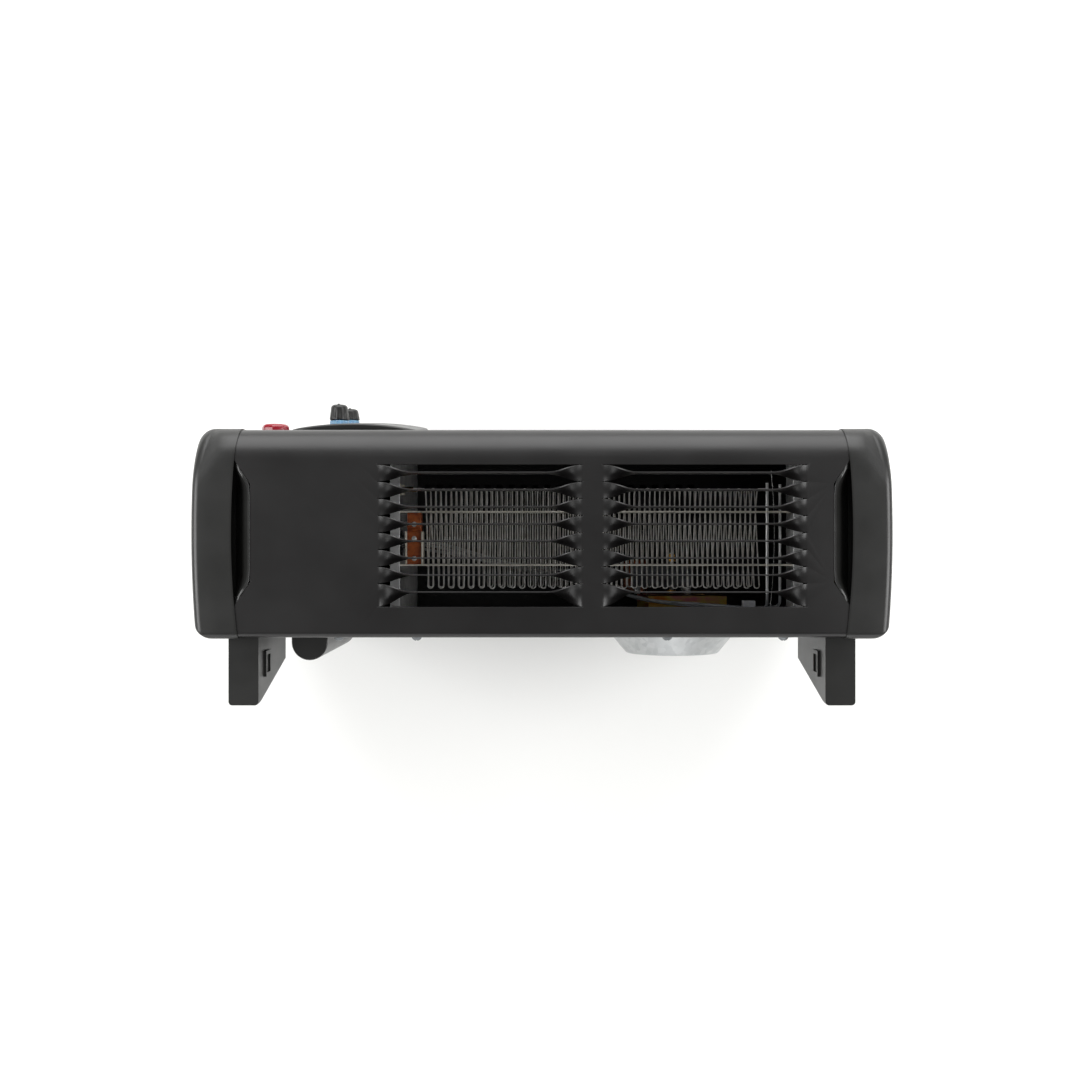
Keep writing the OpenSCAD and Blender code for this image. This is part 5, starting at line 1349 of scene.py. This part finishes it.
def make_rear_guard(context):
    """Spun guard over the fan, with rounded bends and radial slots."""
    size = millimetres(context.scene.heater_works)
    (x0, _, z0), (x1, _, z1) = box_of("rear_guard")
    centre, outer = ((x0 + x1) / 2, (z0 + z1) / 2), (x1 - x0) / 2
    sheet, soft, steps, bend_steps = 1, 4, 96, 6
    boss, boss_edge, boss_depth = 11, 3, 1.2
    screw_at, screw_hole = size.guard + 4.5, 2.2
    slot_in, slot_out, slot_w = 15, size.guard_face - 3, 4
    flange_y, y_out = Y_REAR + sheet, Y_REAR + size.guard_out
    slope = math.atan2(size.guard_out - sheet, size.guard - size.guard_face)

    def corner(r, y, start, end, bend):
        """A bend of the profile round a corner point, between two slopes."""
        turn = end - start
        cut = bend * math.tan(abs(turn) / 2)
        a = (r - cut * math.cos(start), y - cut * math.sin(start))
        normal = start + math.copysign(math.pi / 2, turn)
        c = (a[0] + bend * math.cos(normal), a[1] + bend * math.sin(normal))
        angles = [normal + turn * k / bend_steps for k in range(bend_steps + 1)]
        return [(c[0] - bend * math.cos(a), c[1] - bend * math.sin(a)) for a in angles]

    def sunk(u, v):
        """How far the middle of the face is pressed in."""
        return boss_depth * min(max((boss - math.hypot(u, v)) / boss_edge, 0), 1)

    wall = corner(size.guard, flange_y, math.pi, math.pi - slope, soft)
    wall += corner(size.guard_face, y_out, math.pi - slope, math.pi, soft)
    cone = spun(wall, centre, steps)
    middle = (slot_in + slot_out) / 2
    slot = round_slot((slot_in - middle, -slot_w / 2), (slot_out - middle, slot_w / 2), slot_w, 5)
    slots = []
    for i in range(size.guard_slots):
        a = math.tau * i / size.guard_slots
        slots.append([((middle + u) * math.cos(a) - v * math.sin(a),
                       (middle + u) * math.sin(a) + v * math.cos(a)) for u, v in slot])
    extra = [p for r in range(boss - boss_edge, boss + 1) for p in circle((0, 0), r, 48)]
    points, faces = cut_sheet(circle((0, 0), wall[-1][0], steps), slots, extra)
    face = [(centre[0] + u, y_out - sunk(u, v), centre[1] + v) for u, v in points], faces
    holes = [circle(at_angle((0, 0), screw_at, a), screw_hole, 16) for a in (45, 135, 225, 315)]
    holes.append(circle((0, 0), wall[0][0], steps))
    points, faces = cut_sheet(circle((0, 0), outer, steps), holes)
    rim = [(centre[0] + u, flange_y, centre[1] + v) for u, v in points], faces
    obj = piece("rear_guard_dish", join(cone, face, rim), "galvanised", ["rear_guard"])
    thicken(obj, sheet)
    soften(obj, 0.2, angle=50)


def make_base_plate(context):
    """Base plate: a slotted sheet with a pressed hood over each inlet slot and a rear lip."""
    size = millimetres(context.scene.heater_casing)
    count, pitch, length, width, offset = 26, 12, 44, 5, 27
    thick, lip_bend, edge_steps, hood_steps = 0.9, 1, 24, 16
    hood_half, hood_end, hood_low = length / 2 + 1.2, 5, 0.1
    hood = [(-3.6, 0.1), (-3.0, 0.2), (-2.0, 1.1), (-0.4, 2.2), (1.4, 2.7), (3.2, 2.8)]
    places = [(i - (count - 1) / 2) * pitch for i in range(count)]
    places = [x for x in places if abs(x - BULKHEAD_X) > width]

    y0, y1 = Y_FRONT + size.sheet, Y_REAR - size.sheet
    depths = [y0 + (y1 - y0) * i / edge_steps for i in range(edge_steps + 1)]
    end = [(cap_edge_x(y, size, GAP), y) for y in depths]
    slots = [round_slot((x - width / 2, side * offset - length / 2),
                        (x + width / 2, side * offset + length / 2), width, 4)
             for x in places for side in (-1, 1)]
    flat, faces = cut_sheet(end + [(-x, y) for x, y in end[::-1]], slots)
    skins = [([(x, y, Z_BASE) for x, y in flat], faces)]
    lip = arc((y1, Z_BASE + lip_bend), lip_bend, 270, 360, 4)
    lip.append((y1 + lip_bend, box_of("base_plate")[1][2]))
    lip_x = END_X - size.cap_width - size.bow_inner - GAP
    skins.append(swept(lip, (-lip_x, lip_x)))
    for x in places:
        for side in (-1, 1):
            rings = []
            for k in range(hood_steps + 1):
                u = (2 * k / hood_steps - 1) * hood_half
                lift = math.sin(math.pi / 2 * min(1, (hood_half - abs(u)) / hood_end))
                rings.append([(x + dx, side * offset + u,
                               Z_BASE + hood_low + (dz - hood_low) * lift) for dx, dz in hood])
            skins.append(loft(rings, around=False))
    obj = piece("base_tray", join(*skins), "black_steel", ["base_plate"])
    thicken(obj, thick)
    soften(obj, 0.12, angle=50, segments=1)


# Edge radius in millimetres and names of the parts that keep the frame's own shapes, by slot
KEPT = {
    "black_steel": (0.4, ["back_panel"]),
    "zinc_steel": (0.25, ["power_spindle", "thermostat_spindle", "bulkhead", "far_bracket",
                          "connecting_rods", "cutout_rivets", "motor_pillars", "motor_rotor",
                          "fan_shaft"]),
    "screw_zinc": (0.25, ["foot_screws", "spacer_screws", "back_screws", "guard_screws",
                          "fan_screws"]),
    "black_abs": (0.7, ["foot_left", "foot_right", "wall_spacer_left", "wall_spacer_right",
                        "cable_cover"]),
    "switch_body": (0.5, ["power_switch"]),
    "thermostat_body": (0.5, ["thermostat_body"]),
    "lamp_neon": (0.3, ["pilot_lamp"]),
    "mica": (0.1, ["mica_strip_front", "mica_strip_rear"]),
    "porcelain": (0.35, ["terminal_bushes", "cutout_insulators", "terminal_block"]),
    "brass": (0.2, ["terminal_pins", "bearing_front", "bearing_rear"]),
    "phenolic": (0.5, ["thermal_cutout"]),
    "rubber": (0.4, ["lead_grommet", "cord_gland"]),
    "chromate_steel": (0.3, ["fan_bracket", "bearing_plate"]),
    "lamination": (0.3, ["motor_core"]),
    "clip_nylon": (0.5, ["lead_clip"]),
}


def make_fitted_parts(context):
    """Finishes the parts whose shapes come straight from the frame, and rounds their edges."""
    for slot, (edge, names) in KEPT.items():
        for name in names:
            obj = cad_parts[name]
            obj.data.materials.clear()
            obj.data.materials.append(finish(slot))
            # The frame's own normals would hide the rounded edges
            if "custom_normal" in obj.data.attributes:
                obj.data.attributes.remove(obj.data.attributes["custom_normal"])
            obj.data.shade_smooth()
            modifier(obj, "WELD", merge_threshold=0.01 * MM)
            modifier(obj, "DECIMATE", decimate_type="DISSOLVE", angle_limit=math.radians(0.8))
            soften(obj, edge, angle=33)


def softbox(name, place, aim_z, width, height, power):
    """A soft area lamp that faces the heater's middle line at a height."""
    light = bpy.data.lights.new(name, "AREA")
    light.shape = "RECTANGLE"
    light.size, light.size_y = width, height
    light.energy = power
    obj = bpy.data.objects.new(name, light)
    obj.location = place
    obj.rotation_euler = (Vector((0, 0, aim_z)) - Vector(place)).to_track_quat("-Z", "Y").to_euler()
    obj.visible_camera = False
    bpy.context.scene.collection.objects.link(obj)


def make_stage(context):
    """Pale floor, soft studio light, and the camera straight above the heater."""
    scene = context.scene
    scene.view_settings.view_transform = "Standard"
    scene.world = bpy.data.worlds.new("studio")
    scene.world.use_nodes = True
    background = scene.world.node_tree.nodes["Background"]
    background.inputs["Color"].default_value = (1, 1, 1, 1)
    background.inputs["Strength"].default_value = 0.25

    reach = 3.0
    mesh = bpy.data.meshes.new("floor")
    corners = [(-reach, -reach, 0), (reach, -reach, 0), (reach, reach, 0), (-reach, reach, 0)]
    mesh.from_pydata(corners, [], [(0, 1, 2, 3)])
    mesh.materials.append(finish("floor"))
    floor = bpy.data.objects.new("floor", mesh)
    scene.collection.objects.link(floor)

    softbox("front_softbox", (0.0, -1.6, 1.0), aim_z=0.4, width=2.6, height=1.6, power=52)
    softbox("rear_softbox", (0.0, 1.7, 0.8), aim_z=0.35, width=2.6, height=1.0, power=15)
    for name, x in (("left_softbox", -1.5), ("right_softbox", 1.5)):
        softbox(name, (x, 0.05, 1.35), aim_z=0.34, width=1.3, height=1.0, power=27)

    camera = bpy.data.cameras.new("camera")
    camera.sensor_width = 36
    camera.lens = 48.77
    camera.clip_start = 0.01
    obj = bpy.data.objects.new("camera", camera)
    obj.location = (0.0015, -0.0062, 1.5)
    obj.rotation_euler = (0, 0, math.pi)
    scene.collection.objects.link(obj)
    scene.camera = obj


class HEATER_OT_stage(bpy.types.Operator):
    """Add the pale floor, the soft light and the camera"""

    bl_idname = "heater.stage"
    bl_label = "Stage"

    def execute(self, context):
        make_stage(context)
        return {"FINISHED"}


class HEATER_OT_casing(bpy.types.Operator):
    """Add the sheet steel casing with its louvred windows"""

    bl_idname = "heater.casing"
    bl_label = "Casing"

    def execute(self, context):
        make_casing(context)
        return {"FINISHED"}


class HEATER_OT_end_caps(bpy.types.Operator):
    """Add the two moulded end caps"""

    bl_idname = "heater.end_caps"
    bl_label = "End caps"

    def execute(self, context):
        make_end_caps(context)
        return {"FINISHED"}


class HEATER_OT_grip_cups(bpy.types.Operator):
    """Add the two hand grips"""

    bl_idname = "heater.grip_cups"
    bl_label = "Hand grips"

    def execute(self, context):
        make_grip_cups(context)
        return {"FINISHED"}


class HEATER_OT_control_plate(bpy.types.Operator):
    """Add the bowed plate under the controls"""

    bl_idname = "heater.control_plate"
    bl_label = "Control plate"

    def execute(self, context):
        make_control_plate(context)
        return {"FINISHED"}


class HEATER_OT_dial_rings(bpy.types.Operator):
    """Add the blue rings behind the knobs"""

    bl_idname = "heater.dial_rings"
    bl_label = "Dial rings"

    def execute(self, context):
        make_dial_rings(context)
        return {"FINISHED"}


class HEATER_OT_knobs(bpy.types.Operator):
    """Add the two knobs"""

    bl_idname = "heater.knobs"
    bl_label = "Knobs"

    def execute(self, context):
        make_knobs(context)
        return {"FINISHED"}


class HEATER_OT_pilot_lens(bpy.types.Operator):
    """Add the red pilot lens"""

    bl_idname = "heater.pilot_lens"
    bl_label = "Pilot lens"

    def execute(self, context):
        make_pilot_lens(context)
        return {"FINISHED"}


class HEATER_OT_heating_wires(bpy.types.Operator):
    """Add the two zig-zag heating wires"""

    bl_idname = "heater.heating_wires"
    bl_label = "Heating wires"

    def execute(self, context):
        make_heating_wires(context)
        return {"FINISHED"}


class HEATER_OT_leads(bpy.types.Operator):
    """Add the insulated leads"""

    bl_idname = "heater.leads"
    bl_label = "Leads"

    def execute(self, context):
        make_leads(context)
        return {"FINISHED"}


class HEATER_OT_motor_coil(bpy.types.Operator):
    """Add the motor's winding"""

    bl_idname = "heater.motor_coil"
    bl_label = "Motor winding"

    def execute(self, context):
        make_motor_coil(context)
        return {"FINISHED"}


class HEATER_OT_impeller(bpy.types.Operator):
    """Add the fan's impeller"""

    bl_idname = "heater.impeller"
    bl_label = "Impeller"

    def execute(self, context):
        make_impeller(context)
        return {"FINISHED"}


class HEATER_OT_rear_guard(bpy.types.Operator):
    """Add the guard behind the fan"""

    bl_idname = "heater.rear_guard"
    bl_label = "Rear guard"

    def execute(self, context):
        make_rear_guard(context)
        return {"FINISHED"}


class HEATER_OT_base_plate(bpy.types.Operator):
    """Add the base plate with its hooded slots"""

    bl_idname = "heater.base_plate"
    bl_label = "Base plate"

    def execute(self, context):
        make_base_plate(context)
        return {"FINISHED"}


class HEATER_OT_fitted_parts(bpy.types.Operator):
    """Finish the parts that keep the frame's own shapes"""

    bl_idname = "heater.fitted_parts"
    bl_label = "Fitted parts"

    def execute(self, context):
        make_fitted_parts(context)
        return {"FINISHED"}


OPERATORS = (
    HEATER_OT_stage, HEATER_OT_casing, HEATER_OT_end_caps, HEATER_OT_grip_cups,
    HEATER_OT_control_plate, HEATER_OT_dial_rings, HEATER_OT_knobs, HEATER_OT_pilot_lens,
    HEATER_OT_heating_wires, HEATER_OT_leads, HEATER_OT_motor_coil, HEATER_OT_impeller,
    HEATER_OT_rear_guard, HEATER_OT_base_plate, HEATER_OT_fitted_parts,
)
GROUPS = {
    "heater_casing": HeaterCasing,
    "heater_outlet": HeaterOutlet,
    "heater_controls": HeaterControls,
    "heater_works": HeaterWorks,
    "heater_colours": HeaterColours,
}


class HEATER_PT_panel(bpy.types.Panel):
    """Lists the heater's pieces and their sizes"""

    bl_label = "Convector Heater"
    bl_idname = "HEATER_PT_panel"
    bl_space_type = "VIEW_3D"
    bl_region_type = "UI"
    bl_category = "Heater"

    def draw(self, context):
        for operator in OPERATORS:
            self.layout.operator(operator.bl_idname)
        for name in GROUPS:
            box = self.layout.box()
            group = getattr(context.scene, name)
            for key in group.bl_rna.properties.keys():
                if key not in {"rna_type", "name"}:
                    box.prop(group, key)


def register():
    """Registers the classes and gives the scene its groups of sizes and colours."""
    for cls in (*GROUPS.values(), *OPERATORS, HEATER_PT_panel):
        bpy.utils.register_class(cls)
    for name, cls in GROUPS.items():
        setattr(bpy.types.Scene, name, PointerProperty(type=cls))


def unregister():
    """Takes the groups and the classes away again."""
    for name in GROUPS:
        delattr(bpy.types.Scene, name)
    for cls in (HEATER_PT_panel, *reversed(OPERATORS), *GROUPS.values()):
        bpy.utils.unregister_class(cls)


def main():
    """Builds the whole heater and its stage."""
    register()
    for operator in OPERATORS:
        getattr(bpy.ops.heater, operator.bl_idname.split(".")[1])()


if __name__ == "__main__":
    main()
